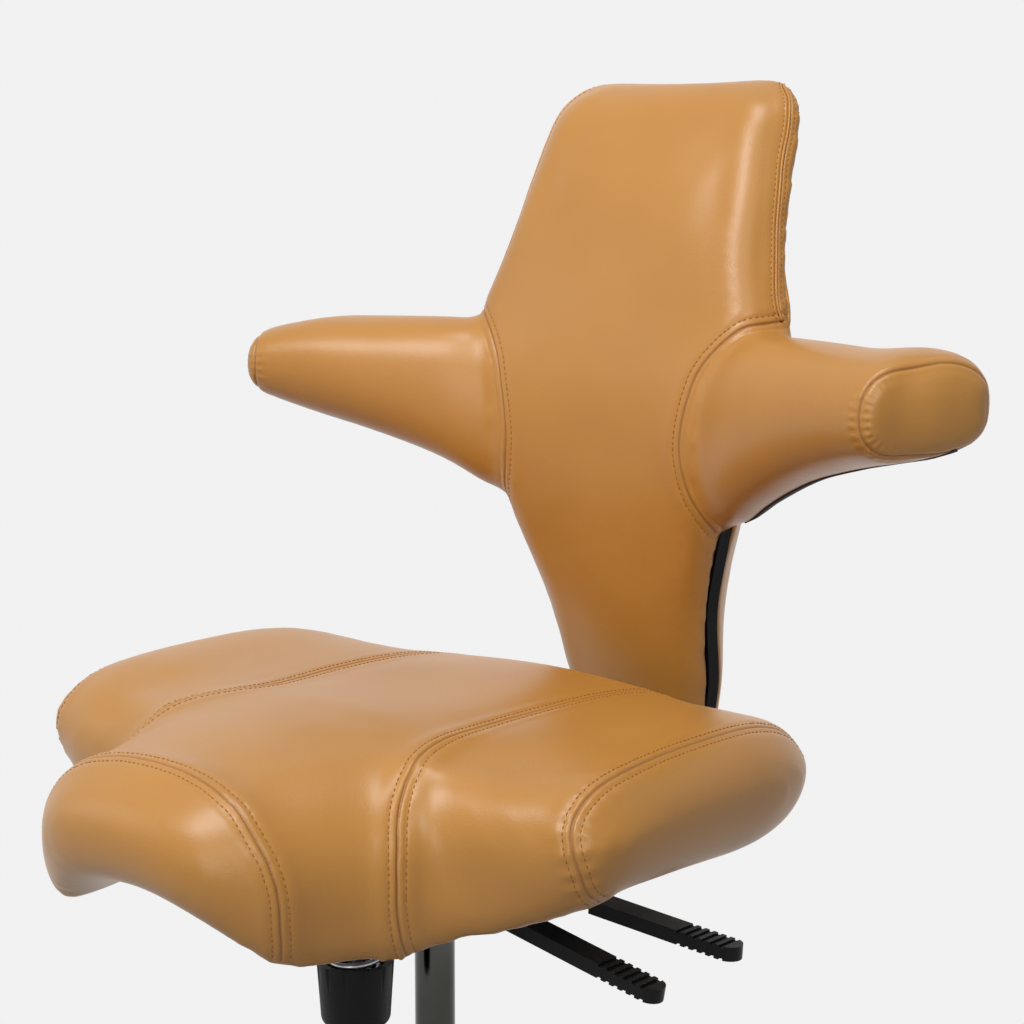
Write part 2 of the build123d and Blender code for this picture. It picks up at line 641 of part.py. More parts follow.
def lever_grip(root, tip, start, y):
    """Moulded bar with a rounded tip and ribs, over the end of the strip."""
    line = lever_line(root, tip)
    slope = line(1) - line(0)
    length = (tip[0] - start) * sqrt(1 + slope * slope)
    outline = SlotOverall(2 * length, GRIP_WIDTH)
    bar = extrude(Plane.XY * outline, GRIP_THICKNESS / 2, both=True)
    bar &= block((0, length + CUT_OVER), (-GRIP_WIDTH, GRIP_WIDTH), (-GRIP_THICKNESS, GRIP_THICKNESS))
    for rib in range(GRIP_RIBS):
        at = length - GRIP_WIDTH / 2 - rib * GRIP_RIB_STEP
        groove = (at - GRIP_RIB_STEP / 4, at + GRIP_RIB_STEP / 4)
        for side in (-1, 1):
            z = sorted((side * (GRIP_THICKNESS / 2 - GRIP_RIB_DEPTH), side * GRIP_THICKNESS))
            bar -= block(groove, (-GRIP_WIDTH, GRIP_WIDTH), z)
    socket = (STRIP_END - start) * sqrt(1 + slope * slope) + LEVER_THICKNESS
    half = LEVER_WIDTH / 2 + SLIDE_RUN
    deep = LEVER_THICKNESS / 2 + SLIDE_RUN
    bar -= block((0, socket), (-half, half), (-deep, deep))
    way = Vector(1, 0, slope).normalized()
    frame = Plane(origin=(start, y, line(start)), x_dir=way, z_dir=way.cross(Vector(0, 1, 0)))
    return frame.location * bar


def lever_pin(x, y, z, extra):
    reach = LEVER_WIDTH / 2 + LUG_GAP + LUG_THICKNESS
    return rod_y(x, y - reach, y + reach, z, LEVER_PIN_RADIUS + extra)


def height_lever_pin(extra=0.0):
    return lever_pin(HEIGHT_LEVER_PIVOT_X, HEIGHT_LEVER_Y, HEIGHT_LEVER_Z, extra)


def slide_lever_pin(extra=0.0):
    return lever_pin(SLIDE_LEVER_PIVOT_X, SLIDE_LEVER_Y, SLIDE_LEVER_Z, extra)


def height_lever():
    """Cranked strip: its inner end lies on the valve pin, its outer end is inside the grip."""
    line = lever_line(HEIGHT_LEVER_ROOT, HEIGHT_LEVER_TIP)
    bend = HEIGHT_GRIP_START - STRIP_BEND
    strip = lever_strip([
        (-LEVER_PAST_PIN, HEIGHT_LEVER_Z),
        (HEIGHT_LEVER_PIVOT_X + LEVER_PIN_RADIUS, HEIGHT_LEVER_Z),
        (bend, line(bend)),
        (STRIP_END, line(STRIP_END)),
    ], HEIGHT_LEVER_Y)
    low = HEIGHT_LEVER_Y - LEVER_WIDTH / 2
    strip += rod_y(HEIGHT_LEVER_PIVOT_X, low, low + LEVER_WIDTH, HEIGHT_LEVER_Z, LEVER_HUB_RADIUS)
    return strip - height_lever_pin(RUN_FIT)


def height_lever_grip():
    return lever_grip(HEIGHT_LEVER_ROOT, HEIGHT_LEVER_TIP, HEIGHT_GRIP_START, HEIGHT_LEVER_Y)


def slide_lever():
    """Cranked strip: its inner end carries the brake pad under the slide plate."""
    line = lever_line(SLIDE_LEVER_ROOT, SLIDE_LEVER_TIP)
    bend = SLIDE_GRIP_START - STRIP_BEND
    strip = lever_strip([
        (BRAKE_PAD_X - BRAKE_PAD_SIZE / 2, SLIDE_LEVER_Z),
        (SLIDE_LEVER_PIVOT_X, SLIDE_LEVER_Z),
        (bend, line(bend)),
        (STRIP_END, line(STRIP_END)),
    ], SLIDE_LEVER_Y)
    low = SLIDE_LEVER_Y - LEVER_WIDTH / 2
    strip += rod_y(SLIDE_LEVER_PIVOT_X, low, low + LEVER_WIDTH, SLIDE_LEVER_Z, LEVER_HUB_RADIUS)
    return strip - slide_lever_pin(RUN_FIT)


def slide_lever_grip():
    return lever_grip(SLIDE_LEVER_ROOT, SLIDE_LEVER_TIP, SLIDE_GRIP_START, SLIDE_LEVER_Y)


def brake_pad():
    half = BRAKE_PAD_SIZE / 2
    return block(
        (BRAKE_PAD_X - half, BRAKE_PAD_X + half),
        (SLIDE_LEVER_Y - half, SLIDE_LEVER_Y + half),
        (SLIDE_LEVER_Z + LEVER_THICKNESS / 2, PLATE_BOTTOM - SLIDE_RUN),
    )


# Gas column
def cylinder_outside(extra=0.0):
    straight = post(0, 0, CYLINDER_BOTTOM, SOCKET_BOTTOM, CYLINDER_RADIUS + extra)
    narrow = CYLINDER_RADIUS - CYLINDER_TAPER + extra
    return straight + post(0, 0, SOCKET_BOTTOM, CYLINDER_TOP, CYLINDER_RADIUS + extra, narrow)


def gas_cylinder():
    bore = CYLINDER_RADIUS - CYLINDER_WALL
    body = cylinder_outside()
    body -= post(0, 0, CYLINDER_BOTTOM + CYLINDER_CAP, CYLINDER_TOP - CYLINDER_HEAD, bore)
    body -= post(0, 0, CYLINDER_BOTTOM, CYLINDER_BOTTOM + CYLINDER_CAP, ROD_RADIUS + RUN_FIT)
    return body - post(0, 0, CYLINDER_TOP - CYLINDER_HEAD, CYLINDER_TOP, PIN_RADIUS + RUN_FIT)


def valve_pin():
    pin = post(0, 0, PIN_TOP - PIN_LENGTH, PIN_TOP, PIN_RADIUS)
    return fillet(pin.edges().sort_by(Axis.Z)[-1], PIN_ROUND)


def gas_piston():
    radius = CYLINDER_RADIUS - CYLINDER_WALL - RUN_FIT
    return ring(0, 0, PISTON_BOTTOM, PISTON_BOTTOM + PISTON_HEIGHT, radius, ROD_RADIUS + RUN_FIT)


def piston_rod():
    return post(0, 0, TUBE_BOTTOM - ROD_TAIL, PISTON_BOTTOM + PISTON_HEIGHT, ROD_RADIUS)


def thrust_bearing():
    low = TUBE_BOTTOM + TUBE_FLOOR + SLIDE_RUN
    return ring(0, 0, low, low + BEARING_HEIGHT, BEARING_RADIUS, ROD_RADIUS + RUN_FIT)


def rod_clip():
    high = TUBE_BOTTOM - SLIDE_RUN
    return ring(0, 0, high - CLIP_HEIGHT, high, CLIP_RADIUS, ROD_RADIUS + RUN_FIT)


def tube_outside(extra=0.0):
    hub_top = HUB_BOTTOM + HUB_HEIGHT
    narrow = post(0, 0, TUBE_BOTTOM, hub_top, TUBE_RADIUS - TUBE_TAPER + extra, TUBE_RADIUS + extra)
    return narrow + post(0, 0, hub_top, COLUMN_TOP, TUBE_RADIUS + extra)


def column_tube():
    bore = TUBE_RADIUS - TUBE_TAPER - TUBE_WALL
    tube = tube_outside() - post(0, 0, TUBE_BOTTOM + TUBE_FLOOR, COLUMN_TOP, bore)
    return tube - post(0, 0, TUBE_BOTTOM, TUBE_BOTTOM + TUBE_FLOOR, ROD_RADIUS + FREE_FIT)


def guide_bush():
    sleeve = TUBE_RADIUS - TUBE_TAPER - TUBE_WALL - RUN_FIT
    bush = post(0, 0, COLUMN_TOP - BUSH_LENGTH, COLUMN_TOP, sleeve)
    bush += post(0, 0, COLUMN_TOP, COLUMN_TOP + BUSH_FLANGE, TUBE_RADIUS)
    return bush - post(0, 0, COLUMN_TOP - BUSH_LENGTH, COLUMN_TOP + BUSH_FLANGE, CYLINDER_RADIUS + RUN_FIT)


# Base and castors
def leg_angles():
    return [FIRST_LEG_ANGLE + 360 / LEG_COUNT * leg for leg in range(LEG_COUNT)]


def stem_place(angle):
    return LEG_REACH * cos(radians(angle)), LEG_REACH * sin(radians(angle))


def leg():
    """One tapered leg along +X, from inside the hub to the castor boss."""
    root_height = HUB_BOTTOM + HUB_HEIGHT - LEG_ROOT_DROP - LEG_ROOT_HEIGHT / 2
    tip_height = LEG_FOOT + LEG_BOSS_HEIGHT - LEG_END_HEIGHT / 2
    root = Plane((LEG_ROOT_START, 0, root_height), x_dir=(0, 1, 0), z_dir=(1, 0, 0))
    tip = Plane((LEG_REACH, 0, tip_height), x_dir=(0, 1, 0), z_dir=(1, 0, 0))
    sections = [
        root * RectangleRounded(LEG_ROOT_WIDTH, LEG_ROOT_HEIGHT, LEG_EDGE),
        tip * RectangleRounded(LEG_END_WIDTH, LEG_END_HEIGHT, LEG_EDGE),
    ]
    boss = post(LEG_REACH, 0, LEG_FOOT, LEG_FOOT + LEG_BOSS_HEIGHT, LEG_BOSS_RADIUS)
    stem = post(LEG_REACH, 0, LEG_FOOT, LEG_FOOT + STEM_LENGTH + BLIND_ROOM, STEM_RADIUS + RUN_FIT)
    return loft(sections, ruled=True) + boss - stem


def base_casting():
    one_leg = leg()
    base = post(0, 0, HUB_BOTTOM, HUB_BOTTOM + HUB_HEIGHT, HUB_RADIUS)
    for angle in leg_angles():
        base = base + Rot(0, 0, angle) * one_leg
    return base - tube_outside(RUN_FIT)


def wheel_span(side):
    near = CASTOR_WEB / 2 + CASTOR_GAP
    return sorted((side * near, side * (near + WHEEL_WIDTH)))


# One castor is drawn with its stem on the Z axis, then copied to the end of every leg.
def castor_hood():
    """Hood over both wheels with a middle wall and the stem boss."""
    half = CASTOR_WEB / 2 + CASTOR_GAP + WHEEL_WIDTH
    room = WHEEL_RADIUS + HOOD_GAP
    outer = room + HOOD_WALL
    past = half + CUT_OVER
    hood = rod_x(-half, half, CASTOR_TRAIL, WHEEL_RADIUS, outer)
    hood -= [
        rod_x(-past, -CASTOR_WEB / 2, CASTOR_TRAIL, WHEEL_RADIUS, room),
        rod_x(CASTOR_WEB / 2, past, CASTOR_TRAIL, WHEEL_RADIUS, room),
        block((-past, past), (CASTOR_TRAIL - outer, CASTOR_TRAIL + outer), (-outer, HOOD_SKIRT)),
    ]
    swept = rod_x(-past, past, CASTOR_TRAIL, WHEEL_RADIUS, room)
    web = block((-CASTOR_WEB / 2, CASTOR_WEB / 2), (0, CASTOR_TRAIL), (HOOD_SKIRT, STEM_FOOT))
    hood += (post(0, 0, WHEEL_RADIUS, STEM_FOOT, STEM_BOSS_RADIUS) - swept) + web
    hood -= post(0, 0, STEM_FOOT - COLLAR_HEIGHT, STEM_FOOT, STEM_RADIUS + RUN_FIT)
    return hood - rod_x(-half, half, CASTOR_TRAIL, WHEEL_RADIUS, CASTOR_AXLE_RADIUS + RUN_FIT)


def castor_stem():
    stem = post(0, 0, STEM_FOOT - COLLAR_HEIGHT, LEG_FOOT + STEM_LENGTH, STEM_RADIUS)
    return stem + post(0, 0, STEM_FOOT, LEG_FOOT - SLIDE_RUN, COLLAR_RADIUS)


def castor_axle():
    half = CASTOR_WEB / 2 + CASTOR_GAP + WHEEL_WIDTH - WHEEL_DISH_DEPTH
    return rod_x(-half, half, CASTOR_TRAIL, WHEEL_RADIUS, CASTOR_AXLE_RADIUS)


def castor_wheel(side):
    low, high = wheel_span(side)
    wheel = rod_x(low, high, CASTOR_TRAIL, WHEEL_RADIUS, WHEEL_RADIUS)
    wheel = fillet(wheel.edges().filter_by(GeomType.CIRCLE), WHEEL_ROUND)
    outside = high if side > 0 else low
    dish = sorted((outside, outside - side * WHEEL_DISH_DEPTH))
    wheel -= rod_x(dish[0], dish[1], CASTOR_TRAIL, WHEEL_RADIUS, WHEEL_DISH_RADIUS)
    return wheel - rod_x(low, high, CASTOR_TRAIL, WHEEL_RADIUS, CASTOR_AXLE_RADIUS + RUN_FIT)


# Back upright and carriage
def back_upright():
    """Flat bar: back under the carrier, then up behind the backrest."""
    z = CARRIER_BOTTOM - UPRIGHT_THICKNESS / 2
    top = SEAT_HEIGHT + UPRIGHT_TOP_ABOVE_SEAT
    corners = [(0, UPRIGHT_START, z), (0, UPRIGHT_Y, z), (0, UPRIGHT_Y, top)]
    path = FilletPolyline(*corners, radius=UPRIGHT_BEND)
    start = Plane((0, UPRIGHT_START, z), x_dir=(1, 0, 0), z_dir=(0, 1, 0))
    bar = sweep(start * Rectangle(UPRIGHT_WIDTH, UPRIGHT_THICKNESS), path=path)
    for y in UPRIGHT_BOLT_PLACES:
        bar -= post(0, y, CARRIER_BOTTOM - UPRIGHT_THICKNESS, CARRIER_BOTTOM, UPRIGHT_BOLT_RADIUS + FREE_FIT)
    return bar


def upright_bolts():
    low = CARRIER_BOTTOM - UPRIGHT_THICKNESS
    bolts = []
    for y in UPRIGHT_BOLT_PLACES:
        head = post(0, y, CARRIER_TOP, CARRIER_TOP + UPRIGHT_BOLT_HEAD_HEIGHT, UPRIGHT_BOLT_HEAD_RADIUS)
        hexagon = RegularPolygon(UPRIGHT_BOLT_HEAD_RADIUS, 6)
        nut = Pos(0, y, low - UPRIGHT_NUT_HEIGHT) * extrude(hexagon, UPRIGHT_NUT_HEIGHT)
        bolts.append(head + post(0, y, low, CARRIER_TOP, UPRIGHT_BOLT_RADIUS) + nut)
    return bolts


def carriage_screw_places():
    return [(side * CARRIAGE_SCREW_X, CARRIAGE_MIDDLE + rise * CARRIAGE_SCREW_RISE)
            for side in (-1, 1) for rise in (-1, 1)]


def carriage_rear():
    return UPRIGHT_REAR + SLIDE_RUN + CARRIAGE_WALL


def back_carriage(shell):
    """Sleeve that slides on the upright and carries the back shell."""
    half = CARRIAGE_HALF_WIDTH
    slot = UPRIGHT_WIDTH / 2 + SLIDE_RUN
    top = CARRIAGE_BOTTOM + CARRIAGE_HEIGHT
    body = block((-half, half), (CARRIAGE_FRONT, carriage_rear()), (CARRIAGE_BOTTOM, top))
    body -= block(
        (-slot, slot),
        (UPRIGHT_Y - UPRIGHT_THICKNESS / 2 - SLIDE_RUN, UPRIGHT_REAR + SLIDE_RUN),
        (CARRIAGE_BOTTOM, top),
    )
    body -= rod_y(0, UPRIGHT_Y, carriage_rear(), CARRIAGE_MIDDLE, LOCK_STUD_RADIUS + RUN_FIT)
    body -= shell
    behind = max(body.solids(), key=lambda piece: piece.center().Y)
    return behind - screw_shanks(RUN_FIT)


def screw_shanks(extra=0.0):
    """The four screws through the carriage into the shell, without their heads."""
    radius = CARRIAGE_SCREW_RADIUS + extra
    return [rod_y(x, CARRIAGE_SCREW_START, carriage_rear(), z, radius) for x, z in carriage_screw_places()]


def carriage_screws():
    rear = carriage_rear()
    screws = []
    for shank, (x, z) in zip(screw_shanks(), carriage_screw_places()):
        head = rod_y(x, rear, rear + CARRIAGE_SCREW_HEAD_HEIGHT, z, CARRIAGE_SCREW_HEAD_RADIUS)
        screws.append(shank + head)
    return screws


def lock_knob():
    """Lobed hand knob with a moulded-in stud that clamps the upright."""
    start = cover_rear_at(CARRIAGE_MIDDLE) + LOCK_KNOB_STAND
    knob = rod_y(0, start, start + LOCK_KNOB_DEPTH, CARRIAGE_MIDDLE, LOCK_KNOB_RADIUS)
    knob = fillet(knob.edges().filter_by(GeomType.CIRCLE).sort_by(Axis.Y)[-1], LOCK_KNOB_ROUND)
    for lobe in range(LOCK_KNOB_LOBES):
        angle = 2 * pi * lobe / LOCK_KNOB_LOBES
        x = LOCK_LOBE_REACH * cos(angle)
        z = CARRIAGE_MIDDLE + LOCK_LOBE_REACH * sin(angle)
        knob -= rod_y(x, start, start + LOCK_KNOB_DEPTH, z, LOCK_LOBE_RADIUS)
    return knob + rod_y(0, UPRIGHT_REAR + SLIDE_RUN, start, CARRIAGE_MIDDLE, LOCK_STUD_RADIUS)


# Backrest
def cover_rear_at(z):
    """Y of the rear cover's middle at a height."""
    rise = z - SEAT_HEIGHT
    for low, high in zip(BACK_LEVELS, BACK_LEVELS[1:]):
        if low[0] <= rise <= high[0]:
            share = (rise - low[0]) / (high[0] - low[0])
            return low[-1] + share * (high[-1] - low[-1])
    return BACK_LEVELS[-1][-1]


def lens(z, front, rear):
    """Closed outline at a height between two arcs, each given as half width, edge Y and middle Y."""
    def arc(half, edge, middle, way):
        return Edge.make_three_point_arc((-way * half, edge, z), (0, middle, z), (way * half, edge, z))

    return Wire([
        arc(*front, 1),
        Edge.make_line((front[0], front[1], z), (rear[0], rear[1], z)),
        arc(*rear, -1),
        Edge.make_line((-rear[0], rear[1], z), (-front[0], front[1], z)),
    ])


def back_cushion():
    wires = []
    bend = sqrt(0.5)
    for rise, half, edge, front, roll, roll_y, bow, _ in BACK_LEVELS:
        z = SEAT_HEIGHT + rise
        out_x = roll + (half - roll) * bend
        out_y = edge - (edge - roll_y) * bend
        wires.append(Wire([
            Edge.make_three_point_arc((-roll, roll_y, z), (0, front, z), (roll, roll_y, z)),
            Edge.make_three_point_arc((roll, roll_y, z), (out_x, out_y, z), (half, edge, z)),
            Edge.make_three_point_arc((half, edge, z), (0, edge + bow, z), (-half, edge, z)),
            Edge.make_three_point_arc((-half, edge, z), (-out_x, out_y, z), (-roll, roll_y, z)),
        ]))
    return Solid.make_loft(wires)


def back_shell():
    wires = []
    for rise, half, edge, _, _, _, bow, _ in BACK_LEVELS:
        middle = edge + bow + SOFT_GAP
        front = (half, edge + SOFT_GAP, middle)
        rear = (half + BACK_RIM_OUT, edge + BACK_RIM_DEPTH, middle + BACK_SHELL_THICKNESS)
        wires.append(lens(SEAT_HEIGHT + rise, front, rear))
    return Solid.make_loft(wires)


def back_cover():
    """Padded rear cover, a bowed panel round the upright and the carriage."""
    wires = []
    for rise, half, edge, _, _, _, _, rear_y in BACK_LEVELS:
        front = (half + BACK_RIM_OUT, edge + BACK_RIM_DEPTH + 2 * SOFT_GAP, rear_y - COVER_THICKNESS)
        rear = (half + COVER_OUT, edge + COVER_DEPTH, rear_y)
        wires.append(lens(SEAT_HEIGHT + rise, front, rear))
    cover = Solid.make_loft(wires)
    far = cover_rear_at(CARRIAGE_MIDDLE) + COVER_THICKNESS
    return cover - rod_y(0, UPRIGHT_Y, far, CARRIAGE_MIDDLE, LOCK_HOLE_RADIUS)


def arm_rib(x, front, rear, top, bottom):
    """Rounded closed rib of an arm across its length."""
    y = (front + rear) / 2
    z = SEAT_HEIGHT + (top + bottom) / 2
    deep = (rear - front) / 2
    tall = (top - bottom) / 2
    ends = [(-1, 0), (0, 1), (1, 0), (0, -1)]
    edges = []
    for start, end in zip(ends, ends[1:] + ends[:1]):
        between = ((start[0] + end[0]) * ARM_FULLNESS, (start[1] + end[1]) * ARM_FULLNESS)
        corner = [(x, y + deep * a, z + tall * b) for a, b in (start, between, end)]
        edges.append(Edge.make_three_point_arc(*corner))
    return Wire(edges)


def arm_pad(cutters):
    """The left arm pad, trimmed to the backrest that it grows out of."""
    pad = Solid.make_loft([arm_rib(*rib) for rib in ARM_RIBS]) - cutters
    return max(pad.solids(), key=lambda piece: piece.volume)


def arm_spar(extra=0.0):
    """Flat bar bent forward into both arms, behind the shell."""
    z = SEAT_HEIGHT + SPAR_ABOVE_SEAT
    middle = spar_y()
    path = Polyline((-SPAR_HALF_SPAN, SPAR_TIP_Y), (-SPAR_FLAT, middle), (SPAR_FLAT, middle),
                    (SPAR_HALF_SPAN, SPAR_TIP_Y))
    outline = offset(path, SPAR_THICKNESS / 2 + extra, side=Side.BOTH, kind=Kind.INTERSECTION)
    bar = extrude(make_face(outline), SPAR_HEIGHT + 2 * extra)
    return Pos(0, 0, z - SPAR_HEIGHT / 2 - extra) * bar


def spar_y():
    """Middle of the spar's straight part, just behind the shell."""
    level = min(BACK_LEVELS, key=lambda row: abs(row[0] - SPAR_ABOVE_SEAT))
    return level[2] + level[6] + BACK_SHELL_THICKNESS + 2 * SOFT_GAP + SPAR_THICKNESS / 2


os.makedirs("parts", exist_ok=True)

save("seat_cushion", seat_cushion())
save("seat_shell", seat_shell())
save("seat_screws", *seat_screws())
save("seat_slide_plate", seat_slide_plate())
save("slide_blocks", *slide_blocks())
save("slide_rails", *slide_rails())
save("tilt_carrier", tilt_carrier())
save("mechanism_housing", mechanism_housing())
save("mechanism_pins", tilt_axle(), height_lever_pin())
save("axle_clips", *axle_clips())
save("tilt_stop", tilt_stop())
save("tension_bolt", tension_bolt())
save("tension_knob", tension_knob())
save("tilt_spring", tilt_spring())
save("height_lever", height_lever())
save("height_lever_grip", height_lever_grip())
save("slide_lever", slide_lever())
save("slide_lever_grip", slide_lever_grip())
save("slide_lever_pin", slide_lever_pin())
save("brake_pad", brake_pad())
save("gas_cylinder", gas_cylinder())
save("valve_pin", valve_pin())
save("gas_piston", gas_piston())
save("piston_rod", piston_rod())
save("thrust_bearing", thrust_bearing())
save("rod_clip", rod_clip())
save("column_tube", column_tube())
save("guide_bush", guide_bush())
save("base_casting", base_casting())

hood = castor_hood()
stem = castor_stem()
axle = castor_axle()
left_wheel = castor_wheel(1)
right_wheel = castor_wheel(-1)
for number, angle in enumerate(leg_angles(), start=1):
    at_leg = Pos(*stem_place(angle), 0)
    save(f"castor_hood_{number}", at_leg * hood)
    save(f"castor_pins_{number}", at_leg * stem, at_leg * axle)
    save(f"castor_wheel_left_{number}", at_leg * left_wheel)
    save(f"castor_wheel_right_{number}", at_leg * right_wheel)

save("back_upright", back_upright())
save("upright_bolts", *upright_bolts())

spar_room = arm_spar(SOFT_GAP)
pad = back_cushion()
shell = back_shell()
cover = back_cover() - spar_room
left_arm = arm_pad([pad, shell, cover, spar_room])
save("arm_spar", arm_spar())
save("back_cushion", pad)
save("back_shell", shell - [spar_room, *screw_shanks(RUN_FIT)])
save("back_cover", cover)
save("back_carriage", back_carriage(shell))
save("carriage_screws", *carriage_screws())
save("lock_knob", lock_knob())
save("arm_pad_left", left_arm)
save("arm_pad_right", left_arm.mirror(Plane.YZ))
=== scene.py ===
# %% [markdown]
# # A saddle chair in camel leather
# The chair's hard parts come from a finished CAD model, so every rod, rail and castor is already in
# its place. This lesson dresses that model: it sews leather over the saddle, the back and the two
# arms, paints the hard parts, and sets up a plain studio. All lengths are metres, the floor is
# Z = 0, the column stands on the origin and the sitter faces -Y.

# %% Load the CAD frame
import json
from math import cos, pi, radians, sin

import bmesh
import bpy
import numpy as np
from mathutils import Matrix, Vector
from mathutils.bvhtree import BVHTree
from mathutils.kdtree import KDTree


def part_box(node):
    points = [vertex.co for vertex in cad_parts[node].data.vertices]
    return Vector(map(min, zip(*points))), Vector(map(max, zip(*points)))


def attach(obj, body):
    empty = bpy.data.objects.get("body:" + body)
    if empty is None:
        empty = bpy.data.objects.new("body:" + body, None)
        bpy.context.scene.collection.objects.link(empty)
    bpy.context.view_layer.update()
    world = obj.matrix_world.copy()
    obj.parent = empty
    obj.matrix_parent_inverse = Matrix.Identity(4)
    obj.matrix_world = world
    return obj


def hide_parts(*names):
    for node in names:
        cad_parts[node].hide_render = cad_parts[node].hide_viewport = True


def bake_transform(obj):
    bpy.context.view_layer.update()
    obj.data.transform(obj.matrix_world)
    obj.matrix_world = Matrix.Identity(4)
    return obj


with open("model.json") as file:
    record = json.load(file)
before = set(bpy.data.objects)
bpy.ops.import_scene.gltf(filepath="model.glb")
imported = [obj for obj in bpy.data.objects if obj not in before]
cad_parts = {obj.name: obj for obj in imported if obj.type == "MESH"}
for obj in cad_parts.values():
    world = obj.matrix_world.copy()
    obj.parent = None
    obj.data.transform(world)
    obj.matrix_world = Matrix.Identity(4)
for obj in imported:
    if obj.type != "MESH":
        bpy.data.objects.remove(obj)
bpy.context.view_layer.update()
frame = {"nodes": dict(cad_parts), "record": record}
scene = bpy.context.scene
MM = 0.001
UPWARD = Vector((0, 0, 1))

# %% [markdown]
# ## Camera
# The photograph looks at the chair from the sitter's front left, a little above the seat, through
# a long lens. The place and lens were worked out from known sizes on the chair, so the camera is
# simply put there. A long lens keeps the near arm from looking too big.

# %% Camera
CAMERA_PLACE = (1.069, -1.148, 0.962)
CAMERA_PITCH = 81.3  # degrees up from looking straight down
CAMERA_TURN = 41
SENSOR_WIDTH = 36  # in millimetres, as is the lens
LENS = 82.6
camera_data = bpy.data.cameras.new("camera")
camera_data.sensor_width = SENSOR_WIDTH
camera_data.lens = LENS
camera = bpy.data.objects.new("camera", camera_data)
camera.location = CAMERA_PLACE
camera.rotation_euler = (radians(CAMERA_PITCH), 0, radians(CAMERA_TURN))
scene.collection.objects.link(camera)
scene.camera = camera
print("camera at", tuple(camera.location))

# %% [markdown]
# ## Small tools for meshes
# A piece starts as a list of points and faces. Three ways to make one come back again and again:
# copy the mesh of a CAD node, skin a row of rings, or rebuild a mesh on an even grid of small
# cubes (a voxel remesh), which melts several closed forms into one skin.

# %% Points and faces
def new_piece(name, points, faces):
    """A smooth-shaded mesh object from points and faces."""
    mesh = bpy.data.meshes.new(name)
    mesh.from_pydata([tuple(p) for p in points], [], faces)
    mesh.shade_smooth()
    piece = bpy.data.objects.new(name, mesh)
    scene.collection.objects.link(piece)
    return piece


def skin_rings(rings):
    """Points and faces of a closed tube through rings of equal length."""
    count = len(rings[0])
    points = [p for ring in rings for p in ring]
    faces = []
    for a in range(0, len(points) - count, count):
        for j in range(count):
            k = (j + 1) % count
            faces.append((a + j, a + k, a + count + k, a + count + j))
    faces.append(tuple(reversed(range(count))))
    faces.append(tuple(range(len(points) - count, len(points))))
    return points, faces


def node_mesh(node):
    """Points and faces of a CAD node."""
    mesh = frame["nodes"][node].data
    return [v.co.copy() for v in mesh.vertices], [tuple(p.vertices) for p in mesh.polygons]


def joined(*parts):
    """Several lists of points and faces as one."""
    points, faces = [], []
    for part_points, part_faces in parts:
        start = len(points)
        points += list(part_points)
        faces += [tuple(i + start for i in face) for face in part_faces]
    return points, faces


print("points and faces: tools ready")

# %% Modifiers and vertices
SMOOTH_FACTOR = 0.5


def bake(piece):
    """Apply a piece's modifiers to its mesh."""
    depsgraph = bpy.context.evaluated_depsgraph_get()
    old = piece.data
    piece.data = bpy.data.meshes.new_from_object(piece.evaluated_get(depsgraph))
    piece.modifiers.clear()
    piece.data.name = old.name
    bpy.data.meshes.remove(old)
    piece.data.shade_smooth()


def remesh(piece, voxel):
    """Rebuild a piece as one skin on an even grid."""
    change = piece.modifiers.new("remesh", "REMESH")
    change.mode = "VOXEL"
    change.voxel_size = voxel
    bake(piece)


def smooth(piece, rounds):
    """Even out a whole mesh."""
    change = piece.modifiers.new("smooth", "SMOOTH")
    change.factor = SMOOTH_FACTOR
    change.iterations = rounds
    bake(piece)


def subdivide(piece):
    """Split every face once and round the mesh."""
    change = piece.modifiers.new("subdivide", "SUBSURF")
    change.levels = 1
    change.render_levels = 1
    bake(piece)


def coords(piece):
    """The vertices of a piece as rows of X, Y and Z."""
    flat = np.empty(len(piece.data.vertices) * 3)
    piece.data.vertices.foreach_get("co", flat)
    return flat.reshape(-1, 3)


def set_coords(piece, places):
    """Move the vertices of a piece."""
    piece.data.vertices.foreach_set("co", np.asarray(places).ravel())
    piece.data.update()


def normals(piece):
    """The outward directions at the vertices of a piece."""
    flat = np.empty(len(piece.data.vertices) * 3)
    piece.data.vertex_normals.foreach_get("vector", flat)
    return flat.reshape(-1, 3)


def relax(piece, share, rounds):
    """Smooth a mesh only where share is above 0."""
    before = coords(piece)
    smooth(piece, rounds)
    after = coords(piece)
    set_coords(piece, before + (after - before) * share[:, None])


def even_out(piece, values, rounds):
    """Average a value per vertex with its neighbours."""
    count = len(piece.data.vertices)
    pairs = np.empty(len(piece.data.edges) * 2, int)
    piece.data.edges.foreach_get("vertices", pairs)
    a, b = pairs.reshape(-1, 2).T
    degree = np.bincount(a, minlength=count) + np.bincount(b, minlength=count)
    for _ in range(rounds):
        total = np.bincount(a, values[b], count) + np.bincount(b, values[a], count)
        values = 0.5 * values + 0.5 * total / degree
    return values


def surface_of(piece):
    """A search tree that finds the nearest point of a piece's surface."""
    return BVHTree.FromPolygons([v.co for v in piece.data.vertices],
                                [tuple(p.vertices) for p in piece.data.polygons])


print("modifiers and vertices: tools ready")

# %% [markdown]
# ## Seams
# On the real chair the leather panels are sewn edge to edge, and a row of top-stitching holds the
# turned edges down on both sides. A seam here is a smooth line through a few measured points that
# is dropped onto the leather. The leather then sinks along the line and swells beside it, and
# short thread stitches follow it. Modelled grooves catch the light better than painted ones.
# The leather's colour is also darkened along each seam line: a painted shade in the groove.

# %% Seam lines
WAY_REACH = 3  # neighbours on each side that give the direction of a line


def glide(before, a, b, after, t):
    """A point between a and b, on a smooth curve through four points."""
    return 0.5 * (2 * a + (b - before) * t + (2 * before - 5 * a + 4 * b - after) * t * t
                  + (3 * a - before - 3 * b + after) * t ** 3)


